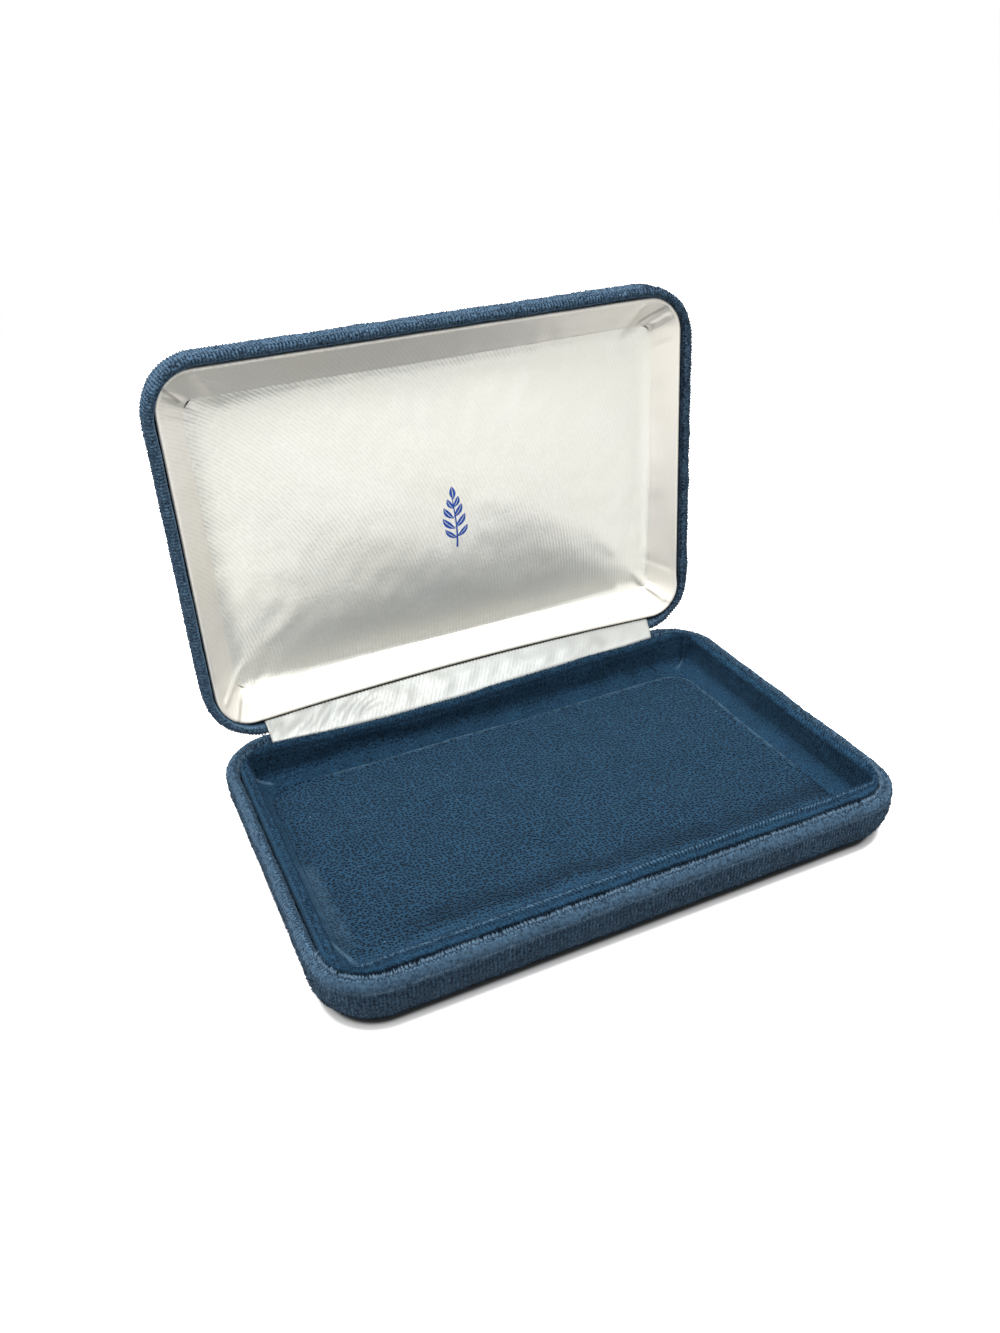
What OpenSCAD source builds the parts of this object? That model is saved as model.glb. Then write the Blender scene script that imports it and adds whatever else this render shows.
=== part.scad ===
// Drafting instrument case: a hinged case of two pressed shells covered in blue velvet.
// Length runs along X, the front faces -Y, the hinge is at +Y, and Z is up.
// The origin is the middle of the underside, and the lid is drawn standing open.

/* [Case] */
// Length of the closed case
case_w = 165; // [140:1:190]
// Depth of the closed case from front to hinge
case_d = 113; // [100:1:130]
// Height of the bottom half, from the table to its rim
base_h = 16.2; // [15:0.1:24]
// Height of the lid, from its rim to its crown
lid_h = 19; // [17:0.5:28]
// Corner radius of the outline, seen from above
corner_r = 16.5; // [15:0.5:20]
// Radius of the rounded edge under the base and over the lid
edge_r = 10.5; // [6:0.5:11]
// Angle that the lid opens to, measured from shut
open_angle = 92; // [88:1:100]
// Space between the two rims when the case is shut
shut_gap = 0.5; // [0.4:0.1:1]

/* [Shells and velvet] */
// Thickness of the velvet, pile and ground together
velvet_t = 1.1; // [0.9:0.1:1.4]
// Thickness of the moulded shells
shell_t = 1.4; // [1.2:0.1:2]
// Depth that the velvet turns down inside the rim
turn_in = 5; // [3.5:0.5:7]
// Glue line between layers that are stuck together
glue = 0.05; // [0.03:0.01:0.1]

/* [Tray] */
// Space between the rim and the rolled bead
tray_gap = 0.3; // [0.2:0.1:0.6]
// Thickness of the card that stiffens the walls of the tray
wall_card_t = 1.2; // [0.8:0.1:1.6]
// Height that the bead stands above the rim
bead_up = 1; // [0.6:0.1:1.4]
// Space behind the tray that the hinges and springs stand in
back_space = 4.9; // [4.7:0.1:6]
// Width of the sloping foot of the walls
cove_w = 4; // [2:0.5:6]
// Height of the top of the sloping foot above the floor
cove_h = 3.2; // [2:0.2:4]
// Thickness of the card under the floor
floor_card_t = 1; // [0.6:0.1:1.6]
// Thickness of the velvet on the floor
floor_velvet_t = 0.9; // [0.7:0.1:1.2]
// Corner radius of the floor panel
floor_corner_r = 7; // [4:0.5:9]

/* [Lid lining] */
// Depth of the edge of the lining below the rim
lining_down = 2; // [1.8:0.1:3]
// Further distance of the lining from the hinge side
lining_back = 2; // [1.8:0.1:2.6]
// Width of the sloping border
border_w = 8; // [5:0.5:9]
// Depth that the border slopes down by
border_d = 7; // [5:0.5:8]
// Thickness of the card under the border
border_card_t = 0.8; // [0.6:0.1:1.2]
// Thickness of the satin
satin_t = 0.4; // [0.3:0.1:0.6]
// Thickness of the board behind the cushion
board_t = 1.2; // [1:0.1:2]
// Rise of the cushion from its edges to its middle
cushion_rise = 5; // [3:0.5:6]

/* [Satin strip] */
// Length of the strip that covers the hinges
strip_w = 140; // [118:1:141]
// Depth of each glued edge of the strip
strip_tab = 4; // [3:0.5:5]

/* [Hinges] */
// Distance of each hinge from the middle
hinge_x = 38; // [30:1:42]
// Width of a hinge
leaf_w = 24; // [22:1:30]
// Thickness of the hinge plates
leaf_t = 0.7; // [0.6:0.1:0.8]
// Length of the hinge plates down the wall
leaf_l = 5.8; // [5.4:0.1:6.2]
// Diameter of the barrel
barrel_d = 2.2; // [2:0.1:2.2]
// Diameter of the hinge pin
pin_d = 1; // [0.8:0.1:1.1]
// Width of the middle knuckle, which belongs to the lid
knuckle_w = 11; // [9:0.5:12]
// Diameter of a rivet
rivet_d = 1.6; // [1.2:0.1:2]
// Thickness of the snap spring
spring_t = 0.4; // [0.3:0.05:0.5]
// Width of the snap spring
spring_w = 7; // [5:0.5:8]

/* [Hidden] */
$fn = 64;
eps = 0.01;

// Layers of the shells, counted inwards from the outer face
shell_in = velvet_t;
shell_out = velvet_t + shell_t;
rim_w = shell_out + velvet_t;
rim_r = rim_w / 2;

// Tray walls, counted inwards from the outer face
tray_in = rim_w + tray_gap;
bead_w = wall_card_t + 2 * floor_velvet_t + 2 * glue;
bead_r = bead_w / 2;
tray_back = shell_out + back_space;
bead_top = base_h + bead_up;
tray_w = case_w - 2 * tray_in;
tray_d = case_d - tray_in - tray_back;
tray_y = (tray_in - tray_back) / 2;
tray_r = corner_r - tray_in;
bed = shell_out;
floor_top = bed + floor_card_t + glue + floor_velvet_t;
foot_top = floor_top + cove_h;
outer_turn = 3.5;
card_in = floor_velvet_t + glue;
card_out = card_in + wall_card_t;
cove_slope = cove_h / cove_w;
steep = sqrt(1 + cove_slope * cove_slope);
floor_gap = 0.3;
floor_in = bead_w + cove_w + floor_gap;
floor_w = tray_w - 2 * floor_in;
floor_d = tray_d - 2 * floor_in;

// Hinge line
axis_y = case_d / 2 - 0.9;
axis_z = base_h + shut_gap / 2;
lid_rim = base_h + shut_gap;
barrel_r = barrel_d / 2;
bore_r = pin_d / 2 + 0.06;
base_knuckle_w = (leaf_w - knuckle_w) / 2 - 0.3;
leaf_n = shell_out;
leaf_y = case_d / 2 - leaf_n;
notch_side = 0.4;
notch_down = barrel_r - shut_gap / 2 + 0.4;
rivet_down = 4.2;
rivet_x = leaf_w / 2 - 3.2;
rivet_head_r = rivet_d;
rivet_head_t = 0.5;
rivet_flat_t = 0.35;
rivet_gap = 0.05;
lug_r = 2.3;
lug_t = 0.8;
lug_w = knuckle_w - 3;
lug_angle = 25;
spring_gap = 0.4;

// Lid lining, with depths counted from the rim of the lid
lining_w = case_w - 2 * tray_in;
lining_d = case_d - 2 * tray_in - lining_back;
lining_y = -lining_back / 2;
lining_r = corner_r - tray_in;
lid_bed = lid_h - shell_out;
border_foot = lining_down + border_d;
leg_in = border_w + border_card_t;
cushion_in = leg_in + satin_t + 2 * glue + 0.1;
cushion_w = lining_w - 2 * cushion_in;
cushion_d = lining_d - 2 * cushion_in;
cushion_r = max(lining_r - cushion_in, 2.5);
cushion_edge = border_foot + 0.4;
board_in = satin_t + glue;
border_tuck = 3;
border_turn = 1.6;

// Sweeps a section around a rounded rectangle; the section's X is counted from the corner's centre.
module sweep(w, d, r) {
    hx = w / 2 - r;
    hy = d / 2 - r;
    for (turn = [0, 180]) {
        rotate([0, 0, turn]) {
            translate([hx, hy, 0])
                rotate_extrude(angle = 90)
                    children();
            translate([-hx, hy, 0])
                rotate([0, 0, 90])
                    rotate_extrude(angle = 90)
                        children();
            translate([hx, hy, 0])
                rotate([90, 0, 0])
                    linear_extrude(2 * hy)
                        children();
            translate([-hx, hy, 0])
                rotate([90, 0, 90])
                    linear_extrude(2 * hx)
                        children();
        }
    }
}

// Flat slab with rounded corners.
module slab(w, d, r, t) {
    linear_extrude(t)
        rounded(w, d, r);
}

module rounded(w, d, r) {
    hx = w / 2 - r;
    hy = d / 2 - r;
    square([2 * hx, d], center = true);
    square([w, 2 * hy], center = true);
    for (sx = [-1, 1])
        for (sy = [-1, 1])
            translate([sx * hx, sy * hy])
                circle(r);
}

// Section of a pan, filled in: inset from the outer face by n, up to height top.
module pan_fill(n, top) {
    r = edge_r - n;
    x = corner_r - n;
    translate([0, n])
        square([x - r, top - n]);
    translate([0, n + r])
        square([x, top - n - r]);
    translate([x - r, n + r])
        circle(r);
}

// Section of one layer of a pan, between insets a and b, up to height top.
module pan_layer(a, b, top) {
    intersection() {
        difference() {
            pan_fill(a, top);
            pan_fill(b, top + 1);
        }
        square([corner_r + 1, top]);
    }
}

// Upper half of a ring or disc on the rim.
module rim_cap(h, outer, inner) {
    translate([corner_r - rim_r, h - rim_r])
        intersection() {
            difference() {
                circle(outer);
                if (inner > 0)
                    circle(inner);
            }
            translate([-outer, 0])
                square([2 * outer, outer]);
        }
}

module pan_shell(h) {
    top = h - rim_r;
    sweep(case_w, case_d, corner_r) {
        union() {
            pan_layer(shell_in + glue, shell_out - glue, top);
            rim_cap(h, shell_t / 2 - glue, 0);
        }
    }
    pan_middle(shell_in + glue, shell_out - glue);
}

module pan_velvet(h) {
    top = h - rim_r;
    sweep(case_w, case_d, corner_r) {
        union() {
            pan_layer(0, velvet_t, top);
            rim_cap(h, rim_r, rim_r - velvet_t);
            translate([corner_r - rim_w, h - turn_in])
                square([velvet_t - glue, turn_in - rim_r]);
        }
    }
    pan_middle(0, velvet_t);
}

module pan_middle(a, b) {
    hx = case_w / 2 - corner_r;
    hy = case_d / 2 - corner_r;
    translate([-hx, -hy, a])
        cube([2 * hx, 2 * hy, b - a]);
}

// Cuts in a velvet cover where the hinges pass through its rim; h is the height of the rim.
module velvet_cuts(h) {
    w = leaf_w + 2 * notch_side;
    for (s = [-1, 1]) {
        translate([s * hinge_x - w / 2, case_d / 2 - rim_w - 1, h - notch_down])
            cube([w, rim_w + 2, notch_down + 1]);
        translate([s * hinge_x - w / 2, case_d / 2 - rim_w - 1, h - turn_in - 1])
            cube([w, velvet_t + 1 + glue, turn_in + 2]);
    }
}

// Places a part of the lid, drawn with its rim at the bottom of the lid half, in the open position.
module opened() {
    translate([0, axis_y, axis_z])
        rotate([-open_angle, 0, 0])
            translate([0, -axis_y, -axis_z])
                children();
}

// Turns a pan over onto the rim of the base.
module as_lid() {
    translate([0, 0, lid_rim + lid_h])
        mirror([0, 0, 1])
            children();
}

// Pockets in the velvet over the rivet heads; down is the distance of the rivets below the rim.
module rivet_pockets(z, middle) {
    for (s = [-1, 1])
        for (x = middle ? [-rivet_x, 0, rivet_x] : [-rivet_x, rivet_x])
            translate([s * hinge_x + x, case_d / 2 - velvet_t - 1, z])
                rotate([-90, 0, 0])
                    cylinder(h = 1 + rivet_flat_t + 0.1, r = rivet_head_r + 0.2);
}

module rivet_holes(z, middle) {
    for (s = [-1, 1])
        for (x = middle ? [-rivet_x, 0, rivet_x] : [-rivet_x, rivet_x])
            translate([s * hinge_x + x, case_d / 2 - shell_out - 1, z])
                rotate([-90, 0, 0])
                    cylinder(h = shell_t + 2, d = rivet_d + 2 * rivet_gap);
}

module base_shell() {
    color([0.25, 0.25, 0.27])
        difference() {
            pan_shell(base_h);
            rivet_holes(base_h - rivet_down, true);
        }
}

module base_velvet() {
    color([0.19, 0.27, 0.36])
        difference() {
            pan_velvet(base_h);
            velvet_cuts(base_h);
            rivet_pockets(base_h - rivet_down, true);
        }
}

// Height of the top of the sloping foot, at a distance n in from the outer side of the tray.
function cove_z(n) = foot_top - cove_slope * (n - bead_w);

// Section of the card wall of the tray: an upright with a sloping foot.
module tray_card_section() {
    top = bead_top - card_in;
    under_velvet = (floor_velvet_t + glue) * steep;
    under_card = under_velvet + wall_card_t * steep;
    end = bead_w + cove_w - 0.1;
    low = (foot_top - under_card - bed) / cove_slope + bead_w;
    polygon([
        [tray_r - card_in, top],
        [tray_r - card_out, top],
        [tray_r - card_out, cove_z(card_out) - under_velvet],
        [tray_r - end, cove_z(end) - under_velvet],
        [tray_r - end, bed],
        [tray_r - low, bed],
        [tray_r - card_in, cove_z(card_in) - under_card],
    ]);
}

module tray_wall_card() {
    color([0.55, 0.5, 0.42])
        translate([0, tray_y, 0])
            sweep(tray_w, tray_d, tray_r)
                tray_card_section();
}

// Section of the velvet on the tray wall: inner face, rolled bead and a short turn-down outside.
module tray_velvet_section() {
    t = floor_velvet_t;
    back = bead_w - t;
    end = bead_w + cove_w;
    union() {
        polygon([
            [tray_r - back, bead_top - bead_r],
            [tray_r - bead_w, bead_top - bead_r],
            [tray_r - bead_w, foot_top],
            [tray_r - end, cove_z(end)],
            [tray_r - end, cove_z(end) - t * steep],
            [tray_r - back, cove_z(back) - t * steep],
        ]);
        translate([tray_r - bead_r, bead_top - bead_r])
            intersection() {
                difference() {
                    circle(bead_r);
                    translate([-wall_card_t / 2 - glue, -bead_r])
                        square([wall_card_t + 2 * glue, bead_r + bead_r - t]);
                }
                translate([-bead_r, 0])
                    square([2 * bead_r, bead_r]);
            }
        translate([tray_r - t, bead_top - outer_turn])
            square([t, outer_turn - bead_r]);
    }
}

module tray_wall_velvet() {
    color([0.16, 0.26, 0.38])
        translate([0, tray_y, 0])
            sweep(tray_w, tray_d, tray_r)
                tray_velvet_section();
}

module floor_card() {
    color([0.55, 0.5, 0.42])
        translate([0, tray_y, bed])
            slab(floor_w - 2 * card_in, floor_d - 2 * card_in, floor_corner_r - card_in, floor_card_t);
}

module floor_velvet() {
    color([0.18, 0.29, 0.42])
        translate([0, tray_y, 0])
            difference() {
                translate([0, 0, bed])
                    slab(floor_w, floor_d, floor_corner_r, floor_top - bed);
                translate([0, 0, bed - 1])
                    slab(floor_w - 2 * floor_velvet_t, floor_d - 2 * floor_velvet_t,
                        floor_corner_r - floor_velvet_t, floor_card_t + glue + 1);
            }
}

module lid_shell() {
    color([0.25, 0.25, 0.27])
        opened()
            difference() {
                as_lid()
                    pan_shell(lid_h);
                rivet_holes(lid_rim + rivet_down, false);
            }
}

module lid_velvet() {
    color([0.22, 0.31, 0.4])
        opened()
            difference() {
                as_lid()
                    difference() {
                        pan_velvet(lid_h);
                        velvet_cuts(lid_h);
                    }
                rivet_pockets(lid_rim + rivet_down, false);
            }
}

// The lid's lining is drawn with its depths counted up from the rim of the shut lid.
module lid_border_card() {
    x = lining_r;
    f = lining_down + satin_t + glue;
    t = border_card_t;
    color([0.6, 0.56, 0.48])
        opened()
            translate([0, lining_y, lid_rim])
                sweep(lining_w, lining_d, lining_r)
                    polygon([
                        [x - satin_t - glue, f],
                        [x - satin_t - glue, f + t],
                        [x - border_w, f + border_d + t],
                        [x - border_w, lid_bed],
                        [x - leg_in, lid_bed],
                        [x - leg_in, f + border_d],
                        [x - satin_t - glue - t, f],
                    ]);
}

module lid_border_satin() {
    x = lining_r;
    f = lining_down;
    t = satin_t;
    color([0.87, 0.86, 0.82])
        opened()
            translate([0, lining_y, lid_rim])
                sweep(lining_w, lining_d, lining_r)
                    polygon([
                        [x, f],
                        [x, f + t + glue + border_turn],
                        [x - t, f + t + glue + border_turn],
                        [x - t, f + t],
                        [x - t - border_card_t - 2 * glue, f + t],
                        [x - leg_in - glue, f + border_d + t - glue],
                        [x - leg_in - glue, f + border_d + border_tuck],
                        [x - leg_in - glue - t, f + border_d + border_tuck],
                        [x - leg_in - glue - t, f + border_d - glue],
                        [x - t - border_card_t, f],
                    ]);
}

module lid_board() {
    color([0.55, 0.5, 0.42])
        opened()
            translate([0, lining_y, lid_rim + lid_bed - board_t])
                slab(cushion_w - 2 * board_in, cushion_d - 2 * board_in, cushion_r - board_in, board_t);
}

// Crowned block that the cushion is made from: inset n on every face, edge at depth e.
module crowned(n, e, bottom) {
    w = cushion_w - 2 * n;
    d = cushion_d - 2 * n;
    r = cushion_r - n;
    long_r = (w * w / 4 + cushion_rise * cushion_rise) / (2 * cushion_rise);
    short_r = (d * d / 4 + cushion_rise * cushion_rise) / (2 * cushion_rise);
    intersection() {
        translate([0, 0, e - cushion_rise - 1])
            slab(w, d, r, bottom - e + cushion_rise + 1);
        translate([0, w, e - cushion_rise + long_r])
            rotate([90, 0, 0])
                cylinder(h = 2 * w, r = long_r, $fn = 256);
        translate([-w, 0, e - cushion_rise + short_r])
            rotate([0, 90, 0])
                cylinder(h = 2 * w, r = short_r, $fn = 256);
    }
}

module lid_wadding() {
    color([0.92, 0.91, 0.88])
        opened()
            translate([0, lining_y, lid_rim])
                crowned(board_in, cushion_edge + board_in, lid_bed - board_t - glue);
}

module lid_cushion_satin() {
    color([0.88, 0.87, 0.83])
        opened()
            translate([0, lining_y, lid_rim])
                difference() {
                    crowned(0, cushion_edge, lid_bed - 0.2);
                    crowned(satin_t, cushion_edge + satin_t, lid_bed + 1);
                }
}

// Rotates a point given as distances from the hinge line from shut to open.
function swung(y, z) = [
    y * cos(open_angle) + z * sin(open_angle),
    -y * sin(open_angle) + z * cos(open_angle)
];

// Satin strip: glued behind the lid's lining, bridging to the back of the tray.
module hinge_strip_satin() {
    lid_y = case_d / 2 - tray_in - lining_back + 0.2 - axis_y;
    lid_z = lid_rim + lining_down - axis_z;
    lid_top = [axis_y, axis_z] + swung(lid_y, lid_z);
    lid_out = [axis_y, axis_z] + swung(lid_y + satin_t, lid_z - 0.1);
    lid_tab = [axis_y, axis_z] + swung(lid_y, lid_z + strip_tab);
    lid_tab_out = [axis_y, axis_z] + swung(lid_y + satin_t, lid_z + strip_tab);
    base_y = case_d / 2 - tray_back + 0.1;
    base_z = base_h;
    color([0.9, 0.89, 0.86])
        translate([-strip_w / 2, 0, 0])
            rotate([90, 0, 90])
                linear_extrude(strip_w)
                    polygon([
                        lid_tab,
                        lid_top,
                        [base_y, base_z + satin_t],
                        [base_y, base_z - strip_tab],
                        [base_y + satin_t, base_z - strip_tab],
                        [base_y + satin_t, base_z],
                        lid_out,
                        lid_tab_out,
                    ]);
}

// Barrel pieces along X, from x0, of width w.
module knuckle(x0, w) {
    translate([x0, axis_y, axis_z])
        rotate([0, 90, 0])
            difference() {
                cylinder(h = w, r = barrel_r);
                translate([0, 0, -1])
                    cylinder(h = w + 2, r = bore_r);
            }
}

// Neck from the barrel to the plate, without the bore; side is -1 for the base and 1 for the lid.
module neck(x0, w, side) {
    z0 = side < 0 ? axis_z - barrel_r : axis_z + barrel_r - leaf_t;
    difference() {
        translate([x0, leaf_y - leaf_t, z0])
            cube([w, axis_y - leaf_y + leaf_t, leaf_t]);
        translate([x0 - 1, axis_y, axis_z])
            rotate([0, 90, 0])
                cylinder(h = w + 2, r = bore_r);
    }
}

module base_leaf(cx) {
    top = axis_z - barrel_r + leaf_t;
    low = base_h - leaf_l;
    step = base_h - 2.7;
    color([0.72, 0.66, 0.45])
        difference() {
            union() {
                for (s = [-1, 1]) {
                    x0 = s < 0 ? cx - leaf_w / 2 : cx + leaf_w / 2 - base_knuckle_w;
                    knuckle(x0, base_knuckle_w);
                    neck(x0, base_knuckle_w, -1);
                    translate([x0, leaf_y - leaf_t, step - eps])
                        cube([base_knuckle_w, leaf_t, top - step + eps]);
                }
                translate([cx - leaf_w / 2, leaf_y - leaf_t, low])
                    cube([leaf_w, leaf_t, step - low]);
            }
            for (x = [-rivet_x, 0, rivet_x])
                translate([cx + x, leaf_y - leaf_t - 1, base_h - rivet_down])
                    rotate([-90, 0, 0])
                        cylinder(h = leaf_t + 2, d = rivet_d + 2 * rivet_gap);
        }
}

module lid_leaf(cx) {
    low = axis_z + barrel_r - leaf_t;
    high = lid_rim + leaf_l;
    step = lid_rim + 1.5;
    color([0.72, 0.66, 0.45])
        opened()
            difference() {
                union() {
                    knuckle(cx - knuckle_w / 2, knuckle_w);
                    neck(cx - knuckle_w / 2, knuckle_w, 1);
                    translate([cx - knuckle_w / 2, leaf_y - leaf_t, low])
                        cube([knuckle_w, leaf_t, step - low + eps]);
                    translate([cx - leaf_w / 2, leaf_y - leaf_t, step])
                        cube([leaf_w, leaf_t, high - step]);
                    difference() {
                        translate([cx - lug_w / 2, axis_y, axis_z])
                            rotate([lug_angle, 0, 0])
                                translate([0, -lug_r, -lug_t / 2])
                                    cube([lug_w, lug_r, lug_t]);
                        translate([cx - knuckle_w, axis_y, axis_z])
                            rotate([0, 90, 0])
                                cylinder(h = 2 * knuckle_w, r = bore_r);
                    }
                }
                for (x = [-rivet_x, rivet_x])
                    translate([cx + x, leaf_y - leaf_t - 1, lid_rim + rivet_down])
                        rotate([-90, 0, 0])
                            cylinder(h = leaf_t + 2, d = rivet_d + 2 * rivet_gap);
            }
}

module pin(cx) {
    color([0.6, 0.6, 0.6])
        translate([cx - leaf_w / 2, axis_y, axis_z])
            rotate([0, 90, 0])
                cylinder(h = leaf_w, d = pin_d);
}

// Rivet along Y: flat head under the velvet, shank, and a head on the inner side of what it clamps.
module rivet(x, z, clamped) {
    outer = case_d / 2 - shell_in - glue;
    inner = leaf_y - leaf_t - clamped;
    translate([x, inner - rivet_head_t, z])
        rotate([-90, 0, 0]) {
            cylinder(h = outer - inner + rivet_head_t + rivet_flat_t, d = rivet_d);
            cylinder(h = rivet_head_t, r = rivet_head_r);
            translate([0, 0, outer - inner + rivet_head_t + 0.02])
                cylinder(h = rivet_flat_t - 0.02, r = rivet_head_r);
        }
}

module base_rivet(x) {
    color([0.62, 0.6, 0.55])
        rivet(x, base_h - rivet_down, 0.02);
}

module spring_rivet(x) {
    color([0.62, 0.6, 0.55])
        rivet(x, base_h - rivet_down, spring_t + 0.04);
}

module lid_rivet(x) {
    color([0.62, 0.6, 0.55])
        opened()
            rivet(x, lid_rim + rivet_down, 0.02);
}

// Snap spring: a foot against the leaf and a blade that stands beside the lug of the lid leaf.
module spring(cx) {
    y0 = leaf_y - leaf_t - 0.02;
    y1 = axis_y - lug_r - spring_gap;
    z0 = base_h - rivet_down;
    t = spring_t;
    color([0.5, 0.52, 0.56])
        difference() {
            translate([cx - spring_w / 2, 0, 0])
                rotate([90, 0, 90])
                    linear_extrude(spring_w)
                        polygon([
                            [y0, z0 - 1.6],
                            [y0, z0 + 1.8],
                            [y1, z0 + 3.2],
                            [y1, axis_z + 0.6],
                            [y1 - t, axis_z + 0.6],
                            [y1 - t, z0 + 2.9],
                            [y0 - t, z0 + 1.6],
                            [y0 - t, z0 - 1.6],
                        ]);
            translate([cx, y0 - t - 1, z0])
                rotate([-90, 0, 0])
                    cylinder(h = t + 2, d = rivet_d + 2 * rivet_gap);
        }
}

base_shell();
base_velvet();
tray_wall_card();
tray_wall_velvet();
floor_card();
floor_velvet();
lid_shell();
lid_velvet();
lid_border_card();
lid_border_satin();
lid_board();
lid_wadding();
lid_cushion_satin();
hinge_strip_satin();
base_leaf(-hinge_x);  // left_base_leaf
lid_leaf(-hinge_x);  // left_lid_leaf
pin(-hinge_x);  // left_pin
spring(-hinge_x);  // left_spring
base_rivet(-hinge_x - rivet_x);  // left_base_rivet_outer
base_rivet(-hinge_x + rivet_x);  // left_base_rivet_inner
spring_rivet(-hinge_x);  // left_spring_rivet
lid_rivet(-hinge_x - rivet_x);  // left_lid_rivet_outer
lid_rivet(-hinge_x + rivet_x);  // left_lid_rivet_inner
base_leaf(hinge_x);  // right_base_leaf
lid_leaf(hinge_x);  // right_lid_leaf
pin(hinge_x);  // right_pin
spring(hinge_x);  // right_spring
base_rivet(hinge_x + rivet_x);  // right_base_rivet_outer
base_rivet(hinge_x - rivet_x);  // right_base_rivet_inner
spring_rivet(hinge_x);  // right_spring_rivet
lid_rivet(hinge_x + rivet_x);  // right_lid_rivet_outer
lid_rivet(hinge_x - rivet_x);  // right_lid_rivet_inner
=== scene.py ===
"""Drafting instrument case: velvet covers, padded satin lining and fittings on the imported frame."""

import math

import bpy
import numpy as np
from mathutils import Matrix


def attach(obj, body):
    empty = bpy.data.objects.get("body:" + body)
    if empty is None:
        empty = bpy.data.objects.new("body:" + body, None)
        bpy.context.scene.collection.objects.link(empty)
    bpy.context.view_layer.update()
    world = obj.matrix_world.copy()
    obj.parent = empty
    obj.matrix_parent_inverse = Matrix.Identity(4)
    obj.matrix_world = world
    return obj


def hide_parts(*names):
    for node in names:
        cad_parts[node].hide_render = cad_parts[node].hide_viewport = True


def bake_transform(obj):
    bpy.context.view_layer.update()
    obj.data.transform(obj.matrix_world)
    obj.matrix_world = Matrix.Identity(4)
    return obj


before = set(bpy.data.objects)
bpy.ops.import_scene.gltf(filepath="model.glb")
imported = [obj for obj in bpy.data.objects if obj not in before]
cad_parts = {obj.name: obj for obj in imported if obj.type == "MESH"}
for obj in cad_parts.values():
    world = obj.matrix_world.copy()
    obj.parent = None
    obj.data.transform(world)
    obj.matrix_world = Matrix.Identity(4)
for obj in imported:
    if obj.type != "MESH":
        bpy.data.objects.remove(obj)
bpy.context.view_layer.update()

# Sizes in millimetres, as the frame has them: the case's halves, and the velvet with its turned-in rim
CASE_W, CASE_D, BASE_H, LID_H, CORNER_R, EDGE_R = 165, 113, 16.2, 19, 16.5, 10.5
VELVET, RIM_R, TURN_IN, GLUE = 1.1, 1.8, 5, 0.05
# The tray: its outline, its bead and plush, its sloping foot, and its floor
TRAY_W, TRAY_D, TRAY_Y, TRAY_R = 157.2, 101.7, -1.75, 12.6
BEAD_TOP, BEAD_W, BEAD_R, PLUSH = 17.2, 3.1, 1.55, 0.9
FOOT_TOP, COVE_W, BED, FLOOR_TOP = 7.65, 4, 2.5, 4.45
FLOOR_W, FLOOR_D, FLOOR_R = 142.4, 86.9, 7
# The hinges, the line they turn about, the shut lid's rim, and how far the lid stands open
HINGE_X, NOTCH_HALF = 38, 12.4
AXIS_Y, AXIS_Z, LID_RIM = 55.6, 16.45, 16.7
OPEN = math.radians(92)
# The lid's lining, its satin and the board under it; the strip's ends, glued tabs, inset and thickness
LINING_W, LINING_D, LINING_Y, LINING_R = 158.2, 105.8, -0.3, 11.0
LINING_DOWN, SATIN, LID_BED = 2, 0.4, 16.5
STRIP_LEFT, STRIP_RIGHT, STRIP_TAB, STRIP_IN, STRIP_THICK = -66.4, 66.8, 4, 7.4, 0.3

# Distance between two rows of pile, which is how far apart the stations round the case stand, and how
# much a rib's sine turns in a millimetre; the distance between the stations of the lid's lining
ROW = 0.95
RIB_PHASE = 2 * math.pi / ROW
LINING_ROW = 0.8
# How many millimetres a unit of a cloth map is
MAP_UNIT = 100
# Widths of the two velvet rims, and how far the cloth lies below the ends of its pile
BASE_RIM, LID_RIM_W, NAP = 3.65, 2.9, 0.22
# Insets of a pan's section: where its flat faces begin, and the turned-in edge at its foot and its top
FACE_IN, TURN_FOOT, TURN_TOP = 16, 2.55, 2.5
# Where a hinge passes: how far below the rim's top the velvet ends, and its greatest inset
NOTCH_DOWN, NOTCH_IN = 1.14, 2.42
# Thickness of the tray's plush straight down through its sloping foot
UNDER = PLUSH * 1.28
# How far tufts stray from their row, in parts of a row, and the turn from one blade to the next
TUFT_STRAY, THIRD_TURN = 0.12, 2.094


# ---- shapes


def line(a, b, n):
    """n points from a up to b, without b."""
    t = np.arange(n)[:, None] / n
    return np.array(a, float) * (1 - t) + np.array(b, float) * t


def bent(*corners):
    """Points along straight legs, without the last corner. A corner is (x, z, n): its leg has n points."""
    legs = zip(corners, corners[1:])
    return np.concatenate([line(a[:2], b[:2], a[2]) for a, b in legs])


def arc(middle, radius, start, end, n):
    """n points of a circle from the angle start up to end, in degrees, without the last."""
    t = np.radians(start + (end - start) * np.arange(n) / n)
    return np.stack([middle[0] + radius * np.cos(t), middle[1] + radius * np.sin(t)], 1)


def joined(parts):
    """A section from its parts, and the number that comes with each part at each of its points."""
    section = np.concatenate([points for points, _ in parts])
    return section, np.concatenate([np.full(len(points), f) for points, f in parts])


def stations(w, d, r, step):
    """How many stations half the back, a corner and a side have when they are step apart."""
    return round((w / 2 - r) / step), round(math.pi / 2 * r / step), round((d - 2 * r) / step)


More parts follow.
